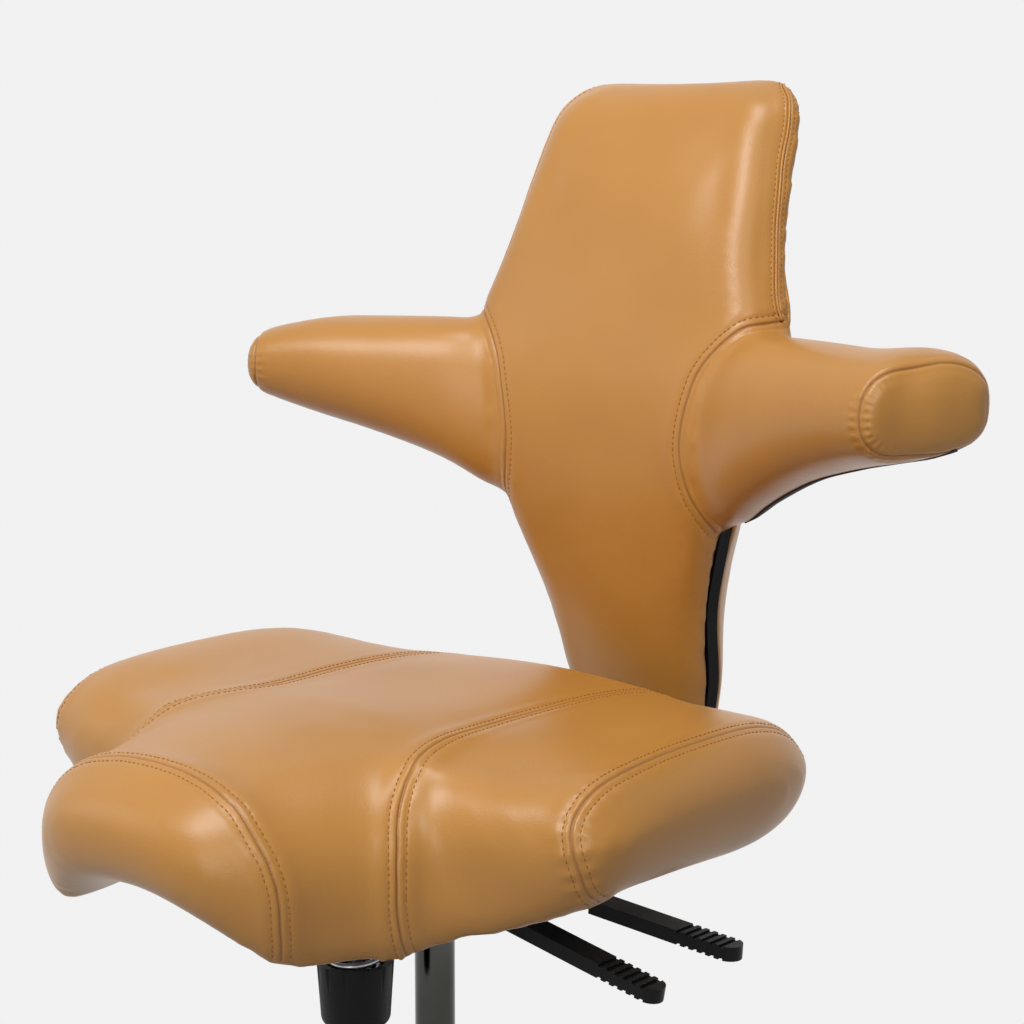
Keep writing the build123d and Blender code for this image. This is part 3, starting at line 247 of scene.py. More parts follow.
def flow(points, step=MM):
    """A smooth line through points, sampled about every step."""
    pts = [Vector(p) for p in points]
    line = []
    for i in range(len(pts) - 1):
        before, a = pts[max(i - 1, 0)], pts[i]
        b, after = pts[i + 1], pts[min(i + 2, len(pts) - 1)]
        count = max(2, int((b - a).length / step))
        line += [glide(before, a, b, after, j / count) for j in range(count)]
    line.append(pts[-1])
    return line


def settle(line, surface, rounds=2):
    """Drop a line onto a surface and even it out over five neighbours."""
    last = len(line) - 1
    for _ in range(rounds):
        line = [surface.find_nearest(p)[0] for p in line]
        line = [(line[max(i - 2, 0)] + line[max(i - 1, 0)] + p + line[min(i + 1, last)]
                 + line[min(i + 2, last)]) / 5 for i, p in enumerate(line)]
    return [surface.find_nearest(p)[0] for p in line]


def beside(line, surface, offset):
    """A line on the surface at a steady distance from another. A positive offset is to its right."""
    row = []
    for i, p in enumerate(line):
        way = line[min(i + WAY_REACH, len(line) - 1)] - line[max(i - WAY_REACH, 0)]
        up = surface.find_nearest(p)[1]
        row.append(p + way.cross(up).normalized() * offset)
    return settle(row, surface)


def both_sides(points):
    """A list of millimetre points for the +X side, and its mirror image, in metres."""
    return [[(side * x * MM, y * MM, z * MM) for x, y, z in points] for side in (1, -1)]


print("seam lines: tools ready")

# %% Distance from a seam
NEAR_SEAM = 30 * MM
WIDE_OF_SEAM = 50 * MM
FAR_AWAY = 1.0  # stands for every distance past the reach


def seam_distance(piece, lines, reach=NEAR_SEAM):
    """Distance of every vertex to the nearest seam line, and the length along that line."""
    samples = [(p, i * MM) for line in lines for i, p in enumerate(line)]
    tree = KDTree(len(samples))
    for i, (p, _) in enumerate(samples):
        tree.insert(p, i)
    tree.balance()
    distance = np.full(len(piece.data.vertices), FAR_AWAY)
    along = np.zeros(len(piece.data.vertices))
    for v in piece.data.vertices:
        _, i, d = tree.find(v.co)
        if d < reach:
            distance[v.index] = d
            along[v.index] = samples[i][1]
    return distance, along


def bell(values, middle, width):
    """1 at the middle, fading to 0 on both sides."""
    return np.exp(-((values - middle) / width) ** 2)


def ramp(values, start, end):
    """0 before start, 1 after end, and a smooth step between."""
    t = np.clip((values - start) / (end - start), 0, 1)
    return t * t * (3 - 2 * t)


print("near a seam:", NEAR_SEAM, "m")

# %% Sewing
# Each kind of seam is a list of ridges and grooves: distance from the seam, width and height in mm.
TOPSTITCHED = [(0, 0.8, -1.0), (2.6, 1.6, 0.3), (5.4, 0.9, -0.35), (10.0, 4.5, 0.4)]
TIGHT = [(0, 0.9, -1.3), (3.4, 2.0, 0.45), (9.0, 4.0, 0.3)]
WELTED = [(0, 1.3, -0.9), (2.4, 1.0, 0.2), (3.8, 0.8, -0.25), (8.0, 3.0, 0.2)]
FINE_BANDS = (8 * MM, 2.6 * MM)
SHADE_WIDTH = 0.9 * MM
PUCKER_AWAY = 7 * MM
PUCKER_WIDTH = 5 * MM


def refine_near(piece, lines, reach):
    """Split the faces beside the seams once more, so that a narrow groove has enough points."""
    distance, _ = seam_distance(piece, lines)
    bm = bmesh.new()
    bm.from_mesh(piece.data)
    near = [edge for edge in bm.edges if all(distance[v.index] < reach for v in edge.verts)]
    bmesh.ops.subdivide_edges(bm, edges=near, cuts=1, use_grid_fill=True)
    bm.to_mesh(piece.data)
    bm.free()
    piece.data.shade_smooth()


def sew(piece, groups, puckers):
    """Shape the leather along seam lines, and store a painted shade along them in the seam attribute."""
    every = [line for lines, _ in groups for line in lines]
    for band in FINE_BANDS:
        refine_near(piece, every, band)
    profile = np.zeros(len(piece.data.vertices))
    dark = np.zeros(len(piece.data.vertices))
    for lines, kind in groups:
        distance, _ = seam_distance(piece, lines)
        for middle, width, height in kind:
            profile += height * MM * bell(distance, middle * MM, width * MM)
        # Painted shade: a narrow darkening of the colour along each seam line.
        dark = np.maximum(dark, bell(distance, 0, SHADE_WIDTH))
    distance, along = seam_distance(piece, every)
    places = coords(piece)
    for centre, radius, height, pitch in puckers:
        near = bell(np.linalg.norm(places - np.array(centre), axis=1), 0, radius)
        profile += height * near * np.cos(2 * pi * along / pitch) * bell(distance, PUCKER_AWAY, PUCKER_WIDTH)
    set_coords(piece, places + normals(piece) * profile[:, None])
    # The seam attribute keeps this painted seam shade for the leather's colour.
    mark = piece.data.attributes.new("seam", "FLOAT", "POINT")
    mark.data.foreach_set("value", dark)


print("kinds of seam: topstitched, tight, welted")

# %% Thread and piping
STITCH_PITCH = 4.1 * MM
STITCH_LENGTH = 2.8 * MM
THREAD_WIDTH = 0.7 * MM
THREAD_SIDES = 6
# One stitch from end to end: place along its length, girth, and rise in thread widths.
STITCH_SECTIONS = [(-0.5, 0.35, -0.2), (-0.25, 0.9, 0.3), (0.0, 1.0, 0.42), (0.25, 0.9, 0.3),
                   (0.5, 0.35, -0.2)]
TUBE_SIDES = 8
TUBE_STEP = 3  # line points from one ring of a tube to the next


def round_ring(middle, across, third, radius, sides):
    """A ring of points round a middle, in the plane of two directions."""
    angles = [2 * pi * k / sides for k in range(sides)]
    return [middle + (across * cos(angle) + third * sin(angle)) * radius for angle in angles]


def stitch(spot, ahead, side, up):
    """One little oval of thread that lies on a surface."""
    rings = []
    for share, girth, rise in STITCH_SECTIONS:
        middle = spot + ahead * STITCH_LENGTH * share + up * rise * THREAD_WIDTH
        rings.append(round_ring(middle, side, -up, THREAD_WIDTH / 2 * girth, THREAD_SIDES))
    return skin_rings(rings)


def stitches(name, rows, surface):
    """Thread ovals, one after the other, along lines on a surface."""
    ovals = []
    for line in rows:
        travelled = STITCH_PITCH / 2
        for i in range(2, len(line) - 2):
            travelled += (line[i] - line[i - 1]).length
            if travelled < STITCH_PITCH:
                continue
            travelled -= STITCH_PITCH
            spot = surface.find_nearest(line[i])[0]
            ups = [surface.find_nearest(line[k])[1] for k in (i - 2, i, i + 2)]
            up = sum(ups, Vector()).normalized()
            side = (line[i + 2] - line[i - 2]).cross(up).normalized()
            ovals.append(stitch(spot, up.cross(side), side, up))
    return new_piece(name, *joined(*ovals))


def tube(line, radius):
    """A round tube along a line."""
    rings = []
    for i in range(0, len(line), TUBE_STEP):
        way = (line[min(i + WAY_REACH, len(line) - 1)] - line[max(i - WAY_REACH, 0)]).normalized()
        across = way.cross(Vector((0, 1, 0))).normalized()
        rings.append(round_ring(line[i], across, way.cross(across), radius, TUBE_SIDES))
    return skin_rings(rings)


print("a stitch every", STITCH_PITCH / MM, "mm")

# %% [markdown]
# ## Swelling
# Foam under stretched leather pushes outwards and the seams hold it back. Blender's cloth can do
# just that: the skin gets air pressure and no gravity, the vertices on the seams and on the hidden
# underside are pinned, and after a few frames the result is kept. A cap on the movement stops a
# large panel from ballooning, and averaging it between neighbours leaves the skin taut.

# %% Swelling
PRESSURE = 4.0
CLOTH_FRAMES = 20
CLOTH_QUALITY = 4
LEATHER_STIFFNESS = 12
LEATHER_BENDING = 0.4
PUSH_ROUNDS = 14
PIN_REACH = 6 * MM  # leather this near to a seam is held by it


def inflate(piece, pinned):
    """Run the cloth on a skin and keep its last frame."""
    held = piece.vertex_groups.new(name="held")
    held.add([int(i) for i in np.nonzero(pinned)[0]], 1.0, "REPLACE")
    cloth = piece.modifiers.new("swell", "CLOTH")
    cloth.settings.use_pressure = True
    cloth.settings.uniform_pressure_force = PRESSURE
    cloth.settings.effector_weights.gravity = 0
    cloth.settings.vertex_group_mass = "held"
    cloth.settings.quality = CLOTH_QUALITY
    cloth.settings.tension_stiffness = LEATHER_STIFFNESS
    cloth.settings.compression_stiffness = LEATHER_STIFFNESS
    cloth.settings.bending_stiffness = LEATHER_BENDING
    cloth.point_cache.frame_start = 1
    cloth.point_cache.frame_end = CLOTH_FRAMES
    for number in range(1, CLOTH_FRAMES + 1):
        scene.frame_set(number)
    bake(piece)
    scene.frame_set(1)
    piece.vertex_groups.clear()


def swell(piece, pinned, cap):
    """Push a skin out between its pinned vertices, as far as the cloth went and up to a cap."""
    start = coords(piece)
    inflate(piece, pinned)
    move = coords(piece) - start
    set_coords(piece, start)
    outward = normals(piece)
    push = np.clip((move * outward).sum(axis=1), 0, cap)
    push[pinned] = 0
    push = even_out(piece, push, PUSH_ROUNDS)
    set_coords(piece, start + outward * push[:, None])
    print(piece.name, "swelled by up to", round(float(push.max()) / MM, 1), "mm")


print("cloth frames:", CLOTH_FRAMES)

# %% [markdown]
# ## Camel leather
# The leather is smooth and warm, with a soft sheen. Its colour drifts a little over a hand's width,
# its grain is a fine net of cells under a millimetre, and a painted shade darkens it along each seam.
# The grain is only a slight bump, because the photograph shows long, clean highlights.

# %% Tools for finishes
DRIFT_SPAN = (0.35, 0.65)  # part of a noise that goes from the dark to the light shade
ROUGH_SPAN = (0.3, 0.7)  # part of a noise that goes from the low to the high roughness
FINE_RELIEF = 0.3 * MM


def new_finish(name):
    """A material, its node tree and its shader."""
    material = bpy.data.materials.new(name)
    material.use_nodes = True
    tree = material.node_tree
    return material, tree, tree.nodes["Principled BSDF"]


def node(tree, kind, **inputs):
    """A shader node with its inputs set."""
    made = tree.nodes.new(kind)
    for key, value in inputs.items():
        made.inputs[key.replace("_", " ")].default_value = value
    return made


def combine(tree, operation, first, second):
    """Two values put together by a math node."""
    both = tree.nodes.new("ShaderNodeMath")
    both.operation = operation
    tree.links.new(first, both.inputs[0])
    tree.links.new(second, both.inputs[1])
    return both.outputs["Value"]


def object_noise(tree, scale, detail=3.0):
    """Noise fixed to the piece itself."""
    place = tree.nodes.new("ShaderNodeTexCoord")
    noise = node(tree, "ShaderNodeTexNoise", Scale=scale, Detail=detail)
    tree.links.new(place.outputs["Object"], noise.inputs["Vector"])
    return noise


def colour_drift(tree, noise, dark, light):
    """Colours between two shades, driven by a noise."""
    shades = tree.nodes.new("ShaderNodeValToRGB")
    for element, position, shade in zip(shades.color_ramp.elements, DRIFT_SPAN, (dark, light)):
        element.position = position
        element.color = (*shade, 1)
    tree.links.new(noise.outputs["Fac"], shades.inputs["Fac"])
    return shades.outputs["Color"]


def between(tree, noise, low, high):
    """A number between two values, driven by a noise."""
    scale = node(tree, "ShaderNodeMapRange", From_Min=ROUGH_SPAN[0], From_Max=ROUGH_SPAN[1],
                 To_Min=low, To_Max=high)
    tree.links.new(noise.outputs["Fac"], scale.inputs["Value"])
    return scale.outputs["Result"]


def bump(tree, shader, height, strength, depth):
    """Fine relief on a finish."""
    made = node(tree, "ShaderNodeBump", Strength=strength, Distance=depth)
    tree.links.new(height, made.inputs["Height"])
    tree.links.new(made.outputs["Normal"], shader.inputs["Normal"])


def wear(piece, material, body):
    """Give a piece its finish and its body."""
    piece.data.materials.clear()
    piece.data.materials.append(material)
    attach(piece, body)


print("finishes: tools ready")

# %% Leather and thread
CAMEL_DARK = (0.535, 0.236, 0.040)
CAMEL_LIGHT = (0.590, 0.268, 0.050)
# Painted shade in the seam grooves:
CAMEL_SEAM_SHADE = (0.34, 0.140, 0.024)
DRIFT_SCALE = 7.0  # noise scales count waves in a metre
SHEEN_SCALE = 12.0
SHEEN_ROUGHNESS = (0.37, 0.42)
GRAIN_SCALE = 750.0
FOLD_SCALE = 260.0
FOLD_DETAIL = 4.0
GRAIN_STRENGTH = 0.12
GRAIN_RELIEF = 0.5 * MM
LEATHER_SPECULAR = 0.45
LEATHER_COAT = 0.3
COAT_ROUGHNESS = 0.3
THREAD_DARK = (0.37, 0.158, 0.027)
THREAD_LIGHT = (0.46, 0.200, 0.036)
TWIST_SCALE = 1500.0
TWIST_STRENGTH = 0.4
THREAD_ROUGHNESS = 0.7


def leather_colour(tree):
    """The drifting camel tone, with a painted shade along the seams."""
    seam = tree.nodes.new("ShaderNodeAttribute")
    seam.attribute_name = "seam"
    mix = tree.nodes.new("ShaderNodeMix")
    mix.data_type = "RGBA"
    mix.inputs["B"].default_value = (*CAMEL_SEAM_SHADE, 1)
    shade = colour_drift(tree, object_noise(tree, DRIFT_SCALE), CAMEL_DARK, CAMEL_LIGHT)
    # The seam attribute mixes in the painted seam shade.
    tree.links.new(seam.outputs["Fac"], mix.inputs["Factor"])
    tree.links.new(shade, mix.inputs["A"])
    return mix.outputs["Result"]


def leather_finish():
    """Smooth camel leather with a fine grain."""
    material, tree, shader = new_finish("camel_leather")
    tree.links.new(leather_colour(tree), shader.inputs["Base Color"])
    sheen = between(tree, object_noise(tree, SHEEN_SCALE), *SHEEN_ROUGHNESS)
    tree.links.new(sheen, shader.inputs["Roughness"])
    place = tree.nodes.new("ShaderNodeTexCoord")
    cells = node(tree, "ShaderNodeTexVoronoi", Scale=GRAIN_SCALE)
    tree.links.new(place.outputs["Object"], cells.inputs["Vector"])
    folds = object_noise(tree, FOLD_SCALE, FOLD_DETAIL)
    grain = combine(tree, "ADD", cells.outputs["Distance"], folds.outputs["Fac"])
    bump(tree, shader, grain, GRAIN_STRENGTH, GRAIN_RELIEF)
    shader.inputs["Specular IOR Level"].default_value = LEATHER_SPECULAR
    shader.inputs["Coat Weight"].default_value = LEATHER_COAT
    shader.inputs["Coat Roughness"].default_value = COAT_ROUGHNESS
    return material


def thread_finish():
    """Twisted sewing thread, a little darker than the leather."""
    material, tree, shader = new_finish("brown_thread")
    twist = object_noise(tree, TWIST_SCALE)
    tree.links.new(colour_drift(tree, twist, THREAD_DARK, THREAD_LIGHT), shader.inputs["Base Color"])
    bump(tree, shader, twist.outputs["Fac"], TWIST_STRENGTH, FINE_RELIEF)
    shader.inputs["Roughness"].default_value = THREAD_ROUGHNESS
    return material


camel = leather_finish()
thread = thread_finish()
print("finishes:", camel.name, thread.name)

# %% [markdown]
# ## The saddle
# The seat is a wide saddle: two wings for the thighs and a nose that runs forward between them.
# Five seams divide it: two run front to back beside the middle panel and down the flanks, one goes
# round the end of each wing, and one goes over the nose. The pad is rebuilt from the CAD pad as one
# even skin. That skin is filled out where foam fills the real leather, relaxed where the leather is
# pulled smooth, drawn up into soft ridges along the seams, swelled between them and then sewn.
# Pushing vertices along their normals by smooth zones does this without any hand sculpting.

# %% Saddle seams
MIDDLE_SEAM = [
    (86, 148, 550), (90, 150, 566), (93, 143, 582), (95, 131, 591), (96, 100, 595), (96, 71, 597),
    (96, 38, 600), (96, 0, 601), (96, -35, 601), (98, -66, 600), (103, -97, 599), (109, -122, 596),
    (116, -143, 588), (119, -156, 575), (123, -166, 561), (128, -173, 545), (132, -177, 528),
    (135, -178, 512), (136, -175, 496), (134, -168, 484),
]
NOSE_SEAM_HALF = [
    (0, -246, 593), (22, -246, 591), (40, -246, 588), (57, -247, 584), (72, -247, 577), (85, -248, 567),
    (94, -247, 556), (100, -246, 545), (103, -245, 534), (105, -245, 520), (105, -244, 508),
    (103, -242, 494),
]
WING_END_SEAM = [
    (238, -112, 524), (239, -126, 534), (238, -131, 546), (233, -132, 562), (229, -128, 572),
    (228, -121, 582), (228, -106, 591), (228, -86, 596), (227, -54, 600), (226, -20, 601),
    (226, 13, 602), (226, 47, 601), (226, 74, 596), (226, 92, 588), (228, 103, 577), (230, 108, 562),
    (230, 106, 548), (229, 98, 536),
]
FAR_SEAM_SHIFT = 13 * MM  # the far side isn't quite a mirror image
FAR_MIDDLE_SHIFT = 11 * MM
FAR_MIDDLE_FRONT = (0.0, 0.1)


def saddle_lines(surface):
    """The five seams of the saddle on its skin."""
    near, far = both_sides(MIDDLE_SEAM)
    far = [(x + FAR_MIDDLE_SHIFT * float(ramp(-y, *FAR_MIDDLE_FRONT)), y, z) for x, y, z in far]
    lines = [flow(near), flow(far)]
    near, far = both_sides(WING_END_SEAM)
    lines += [flow(near), flow([(x - FAR_SEAM_SHIFT, y, z) for x, y, z in far])]
    near, far = both_sides(NOSE_SEAM_HALF)
    lines.append(flow(near[::-1] + far[1:]))
    return [settle(line, surface) for line in lines]


print("points on the middle seam:", len(MIDDLE_SEAM))

# %% Fuller edges
# A zone is where a fullness starts and where it is whole, or its middle and width: across the
# seat, along it (the nose is at -Y), in height, or by how far a face looks up (1) or down (-1).
WING_PLUMP = 4.5 * MM
WING_ZONE = (0.12, 0.20)
RIM_PLUMP = 3.5 * MM
RIM_ZONE = (-0.27, -0.21)
FACING = (-0.2, 0.3)
SHELL_ROOM = (6 * MM, 24 * MM)
SHOULDER_PLUMP = 5.0 * MM
SHOULDER_ACROSS = (0.085, 0.055)
SHOULDER_ALONG = (-0.168, 0.060)
RIM_DROP = 3.0 * MM
DROP_FADE = 0.8
DROP_ZONE = (0.10, 0.16)
UNDERSIDE = (-0.3, 0.3)
NOTCH_LIFT = 9.0 * MM
NOTCH_START = (0.14, 0.20)
NOTCH_END = (0.22, 0.27)
NOTCH_FRONT = (0.05, 0.12)
PUSH_EVENING = 10
DROP_EVENING = 24


def fill_edges(piece):
    """Fuller wings, lower rim and shoulders of the nose, and a raised notch between nose and wing."""
    places, up = coords(piece), normals(piece)[:, 2]
    x, y = np.abs(places[:, 0]), places[:, 1]
    shell = surface_of(frame["nodes"]["seat_shell"])
    free = ramp(np.array([shell.find_nearest(Vector(p))[3] for p in places]), *SHELL_ROOM)
    wing = WING_PLUMP * ramp(x, *WING_ZONE)
    rim = RIM_PLUMP * ramp(-up, *FACING) * ramp(y, *RIM_ZONE)
    shoulder = SHOULDER_PLUMP * bell(x, *SHOULDER_ACROSS) * bell(y, *SHOULDER_ALONG) * ramp(up, *FACING)
    push = even_out(piece, np.maximum(wing, rim) * free + shoulder, PUSH_EVENING)
    notch = ramp(x, *NOTCH_START) * (1 - ramp(x, *NOTCH_END)) * ramp(-y, *NOTCH_FRONT)
    down = RIM_DROP * (1 - DROP_FADE * ramp(x, *DROP_ZONE)) - NOTCH_LIFT * notch
    drop = even_out(piece, ramp(-up, *UNDERSIDE) * free * down, DROP_EVENING)
    set_coords(piece, places + normals(piece) * push[:, None] - np.outer(drop, UPWARD))


print("wings fuller by", WING_PLUMP / MM, "mm")

# %% Relaxed corners
CORNER_ACROSS = (0.150, 0.075)
CORNER_ALONG = (-0.140, 0.060)
NOSE_FRONT = (0.215, 0.245)
FRONT_SHARE = 0.8
ABOVE_UNDERSIDE = (-0.6, -0.2)
RIM_FACING = (-0.3, 0.2)
SHARE_EVENING = 6
CORNER_ROUNDS = 110
RIM_ROUNDS = 12


def relax_corners(piece):
    """Leather pulled smooth between nose and wings, over the front of the nose and along the rim."""
    places, up = coords(piece), normals(piece)[:, 2]
    x, y = np.abs(places[:, 0]), places[:, 1]
    corner = bell(x, *CORNER_ACROSS) * bell(y, *CORNER_ALONG) * ramp(up, *ABOVE_UNDERSIDE)
    front = ramp(-y, *NOSE_FRONT) * ramp(up, *ABOVE_UNDERSIDE)
    share = np.maximum(corner, FRONT_SHARE * front)
    relax(piece, even_out(piece, share, SHARE_EVENING), CORNER_ROUNDS)
    rim = ramp(-normals(piece)[:, 2], *RIM_FACING)
    relax(piece, even_out(piece, rim, SHARE_EVENING), RIM_ROUNDS)


print("rounds at the corners:", CORNER_ROUNDS)

# %% Crowned top
FLANK_PLUMP = 5.5 * MM
FLANK_ACROSS = (0.165, 0.05)
FLANK_HEIGHT = (0.560, 0.022)
FLANK_FRONT = (0.09, 0.13)
FLANK_HOLLOW = (-0.108, 0.03)
CROWN = 5.0 * MM
CROWN_ACROSS = (0, 0.085)
CROWN_ALONG = (-0.13, 0.075)
TOP_FACING = (0.3, 0.7)
NOSE_PLUMP = 3.5 * MM
FAR_WING_PLUMP = 3.5 * MM
FAR_WING_ZONE = (0.16, 0.22)
SIDE_FACING = (-0.5, 0.0)


def crown_top(piece):
    """Fuller flanks, nose, far wing and middle, and a shallow hollow behind the flanks."""
    places, up = coords(piece), normals(piece)[:, 2]
    x, y, z = np.abs(places[:, 0]), places[:, 1], places[:, 2]
    across, top = bell(x, *FLANK_ACROSS), ramp(up, *TOP_FACING)
    full = FLANK_PLUMP * across * bell(z, *FLANK_HEIGHT) * ramp(-y, *FLANK_FRONT)
    full -= FLANK_PLUMP * across * bell(y, *FLANK_HOLLOW) * top
    full += CROWN * bell(x, *CROWN_ACROSS) * bell(y, *CROWN_ALONG) * top
    full += NOSE_PLUMP * ramp(-y, *NOSE_FRONT) + FAR_WING_PLUMP * ramp(-places[:, 0], *FAR_WING_ZONE)
    push = even_out(piece, full * ramp(up, *SIDE_FACING), PUSH_EVENING)
    set_coords(piece, places + normals(piece) * push[:, None])


print("crown of the seat:", CROWN / MM, "mm")

# %% Ridges along the seams
RIDGE = 3.6 * MM
RIDGE_WIDTH = 14 * MM
RIDGE_FRONT = (0.06, 0.12)
RIDGE_EVENING = 3
LOWER_FACING = (-0.1, 0.3)
LOWER_ROUNDS = 16


def raise_ridges(piece):
    """Soft ridges along the front of the seams, and a smooth underside below them."""
    distance, _ = seam_distance(piece, saddle_lines(surface_of(piece)), WIDE_OF_SEAM)
    places = coords(piece)
    ridge = RIDGE * bell(distance, 0, RIDGE_WIDTH) * ramp(-places[:, 1], *RIDGE_FRONT)
    set_coords(piece, places + normals(piece) * even_out(piece, ridge, RIDGE_EVENING)[:, None])
    lower = ramp(-normals(piece)[:, 2], *LOWER_FACING)
    relax(piece, even_out(piece, lower, SHARE_EVENING), LOWER_ROUNDS)


print("ridges:", RIDGE / MM, "mm")

# %% Saddle skin
SADDLE_VOXEL = 5 * MM
SADDLE_SMOOTHING = 6
SADDLE_CAP = 2.2 * MM
SADDLE_UNDERSIDE = -0.25
LAST_SMOOTHING = 2
saddle = new_piece("saddle_leather", *node_mesh("seat_cushion"))
remesh(saddle, SADDLE_VOXEL)
smooth(saddle, SADDLE_SMOOTHING)
fill_edges(saddle)
relax_corners(saddle)
crown_top(saddle)
raise_ridges(saddle)
distance, _ = seam_distance(saddle, saddle_lines(surface_of(saddle)))
swell(saddle, (distance < PIN_REACH) | (normals(saddle)[:, 2] < SADDLE_UNDERSIDE), SADDLE_CAP)
smooth(saddle, LAST_SMOOTHING)
subdivide(saddle)
print("saddle faces:", len(saddle.data.polygons))

# %% Saddle sewing
STITCH_OFFSET = 5.6 * MM
# Puckers: middle, reach, height and pitch.
WING_PUCKERS = [((side * 0.225, -0.120, 0.55), 0.045, 0.5 * MM, 11 * MM) for side in (1, -1)]
saddle_surface = surface_of(saddle)
saddle_seams = saddle_lines(saddle_surface)
saddle_rows = [beside(line, saddle_surface, offset) for line in saddle_seams
               for offset in (STITCH_OFFSET, -STITCH_OFFSET)]
sew(saddle, [(saddle_seams, TOPSTITCHED)], WING_PUCKERS)
saddle_thread = stitches("saddle_stitching", saddle_rows, surface_of(saddle))
wear(saddle, camel, "seat")
wear(saddle_thread, thread, "seat")
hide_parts("seat_cushion")
print("saddle seams:", len(saddle_seams), "stitch faces:", len(saddle_thread.data.polygons))

# %% [markdown]
# ## The back and its arms
# The front of the back is a tall tapered pad. An arm grows out of each side, reaches forward and
# ends in a domed cap. Above the arms a narrow strip of leather, a gusset, closes the side between
# the front panel and the rear panel, and the front panel wraps over the top. The arms are skinned
# from oval rings and the gusset is a short section carried along the outline. Both are joined to
# the pad and remeshed, so that the leather runs from one into the other. A seam rings each arm
# where it leaves the back, another closes each end cap, and a welted one runs up each side.

# %% Arms
# Each ring, in mm: distance from the chair's middle, front and rear, top and bottom above the seat.
ARM_RINGS = [
    (82, 176, 248, 224, 92), (115, 158, 246, 233, 103), (140, 146, 238, 237, 118),
    (190, 126, 222, 237, 142), (240, 106, 205, 236, 157), (280, 93, 190, 235, 167),
    (297, 111, 184, 233, 171), (312, 127, 178, 229, 176), (322, 142, 172, 221, 182),
    (328, 152, 166, 213, 189),
]
SEAT_TOP = 600
RING_POINTS = 56
RING_STEP = 0.25  # share of the way from one measured ring to the next
ARM_SQUARENESS = 2.3
TIP_ZONE = (235, 300)
ROOT_ZONE = (140, 200)
# How far each arm stands off the measured rings, in mm, and the slope of its tip.
TIP_TOP = {1: 5.0, -1: -8.0}
TIP_UNDER = {1: -1.0, -1: 4.0}
ROOT_UNDER = {1: 0.0, -1: 5.0}
TIP_TILT = {1: 0.12, -1: 0.0}


def squared(value):
    """A sine or cosine of a ring that is a little squarer than an oval."""
    return abs(value) ** (2 / ARM_SQUARENESS) * (1 if value > 0 else -1)


def arm_ring(side, x, front, rear, top, bottom):
    """One ring of an arm, with the fullness of its own side."""
    tip = float(ramp(x, *TIP_ZONE))
    root = 1 - float(ramp(x, *ROOT_ZONE))
    top += TIP_TOP[side] * tip
    bottom += TIP_UNDER[side] * tip + ROOT_UNDER[side] * root
    ring = []
    for i in range(RING_POINTS):
        angle = 2 * pi * i / RING_POINTS * side
        y = (front + rear) / 2 + (rear - front) / 2 * squared(cos(angle))
        z = SEAT_TOP + (top + bottom) / 2 + (top - bottom) / 2 * squared(sin(angle))
        z += TIP_TILT[side] * tip * (y - (front + rear) / 2)
        ring.append((side * x * MM, y * MM, z * MM))
    return ring


def arm(side):
    """A skin through rings between the measured ones."""
    tracks = np.array(ARM_RINGS, float)
    last = len(tracks) - 1
    line = []
    for i in range(last):
        before, a, b, after = (tracks[min(max(k, 0), last)] for k in range(i - 1, i + 3))
        line += [glide(before, a, b, after, t) for t in np.arange(0, 1, RING_STEP)]
    line.append(tracks[-1])
    return skin_rings([arm_ring(side, *row) for row in line])


print("measured rings of an arm:", len(ARM_RINGS))

# %% Gusset and rolled edge
# The outline of the upper back, in mm, and the share by which the gusset stands out of it.
SIDE_LINE = [
    (128, 205, 815, 1.0), (132, 207, 842, 1.0), (125, 212, 868, 1.0), (119, 220, 893, 1.0),
    (114, 229, 919, 1.0), (111, 239, 945, 1.0), (108, 250, 971, 1.0), (104, 259, 991, 0.95),
    (98, 264, 999, 0.85), (90, 269, 1006, 0.65), (78, 273, 1010.5, 0.5), (60, 274, 1011, 0.4),
    (30, 275, 1010.5, 0.35), (0, 275, 1010, 0.35),
]
# The gusset's section in mm: outwards from the outline, and backwards.
GUSSET_SECTION = [
    (-9.0, 1.0), (1.0, -0.6), (4.0, 1.2), (6.8, 4.2), (8.6, 8.0), (8.8, 12.0), (6.5, 14.5),
    (-4.0, 14.0), (-9.0, 8.0),
]
GUSSET_STEP = 3.0
LOWER_EDGE = [
    (61, 231, 535), (66, 227, 569), (73, 215, 618), (86, 204, 664), (97, 199, 703), (103, 198, 745),
    (110, 199, 785), (121, 203, 820),
]
ROLL_RADIUS = 4.2 * MM
ROLL_INWARD = 2.2
ROLL_FORWARD = 1.6
ROLL_STEP = 2 * MM


def rolled_edge(side):
    """The leather rolls round the edge of the pad below the arms."""
    points = [(side * (x - ROLL_INWARD) * MM, (y - ROLL_FORWARD) * MM, z * MM) for x, y, z in LOWER_EDGE]
    return tube(flow(points, ROLL_STEP), ROLL_RADIUS)


def gusset():
    """A leather strip round the upper back."""
    half = [Vector((x, y, z)) for x, y, z, _ in SIDE_LINE]
    out = [share for *_, share in SIDE_LINE]
    points = flow(half + [Vector((-p.x, p.y, p.z)) for p in reversed(half[:-1])], GUSSET_STEP)
    places = np.linspace(0, 1, len(points))
    shares = np.interp(places, np.linspace(0, 1, len(out) * 2 - 1), out + out[-2::-1])
    rings = []
    for i, (p, share) in enumerate(zip(points, shares)):
        way = (points[min(i + 1, len(points) - 1)] - points[max(i - 1, 0)]).normalized()
        outward = Vector((way.z, 0, -way.x)).normalized()
        rings.append([(p + outward * n * (share if n > 0 else 1) + Vector((0, y, 0))) * MM
                      for n, y in GUSSET_SECTION])
    return skin_rings(rings)


print("gusset points:", len(GUSSET_SECTION))

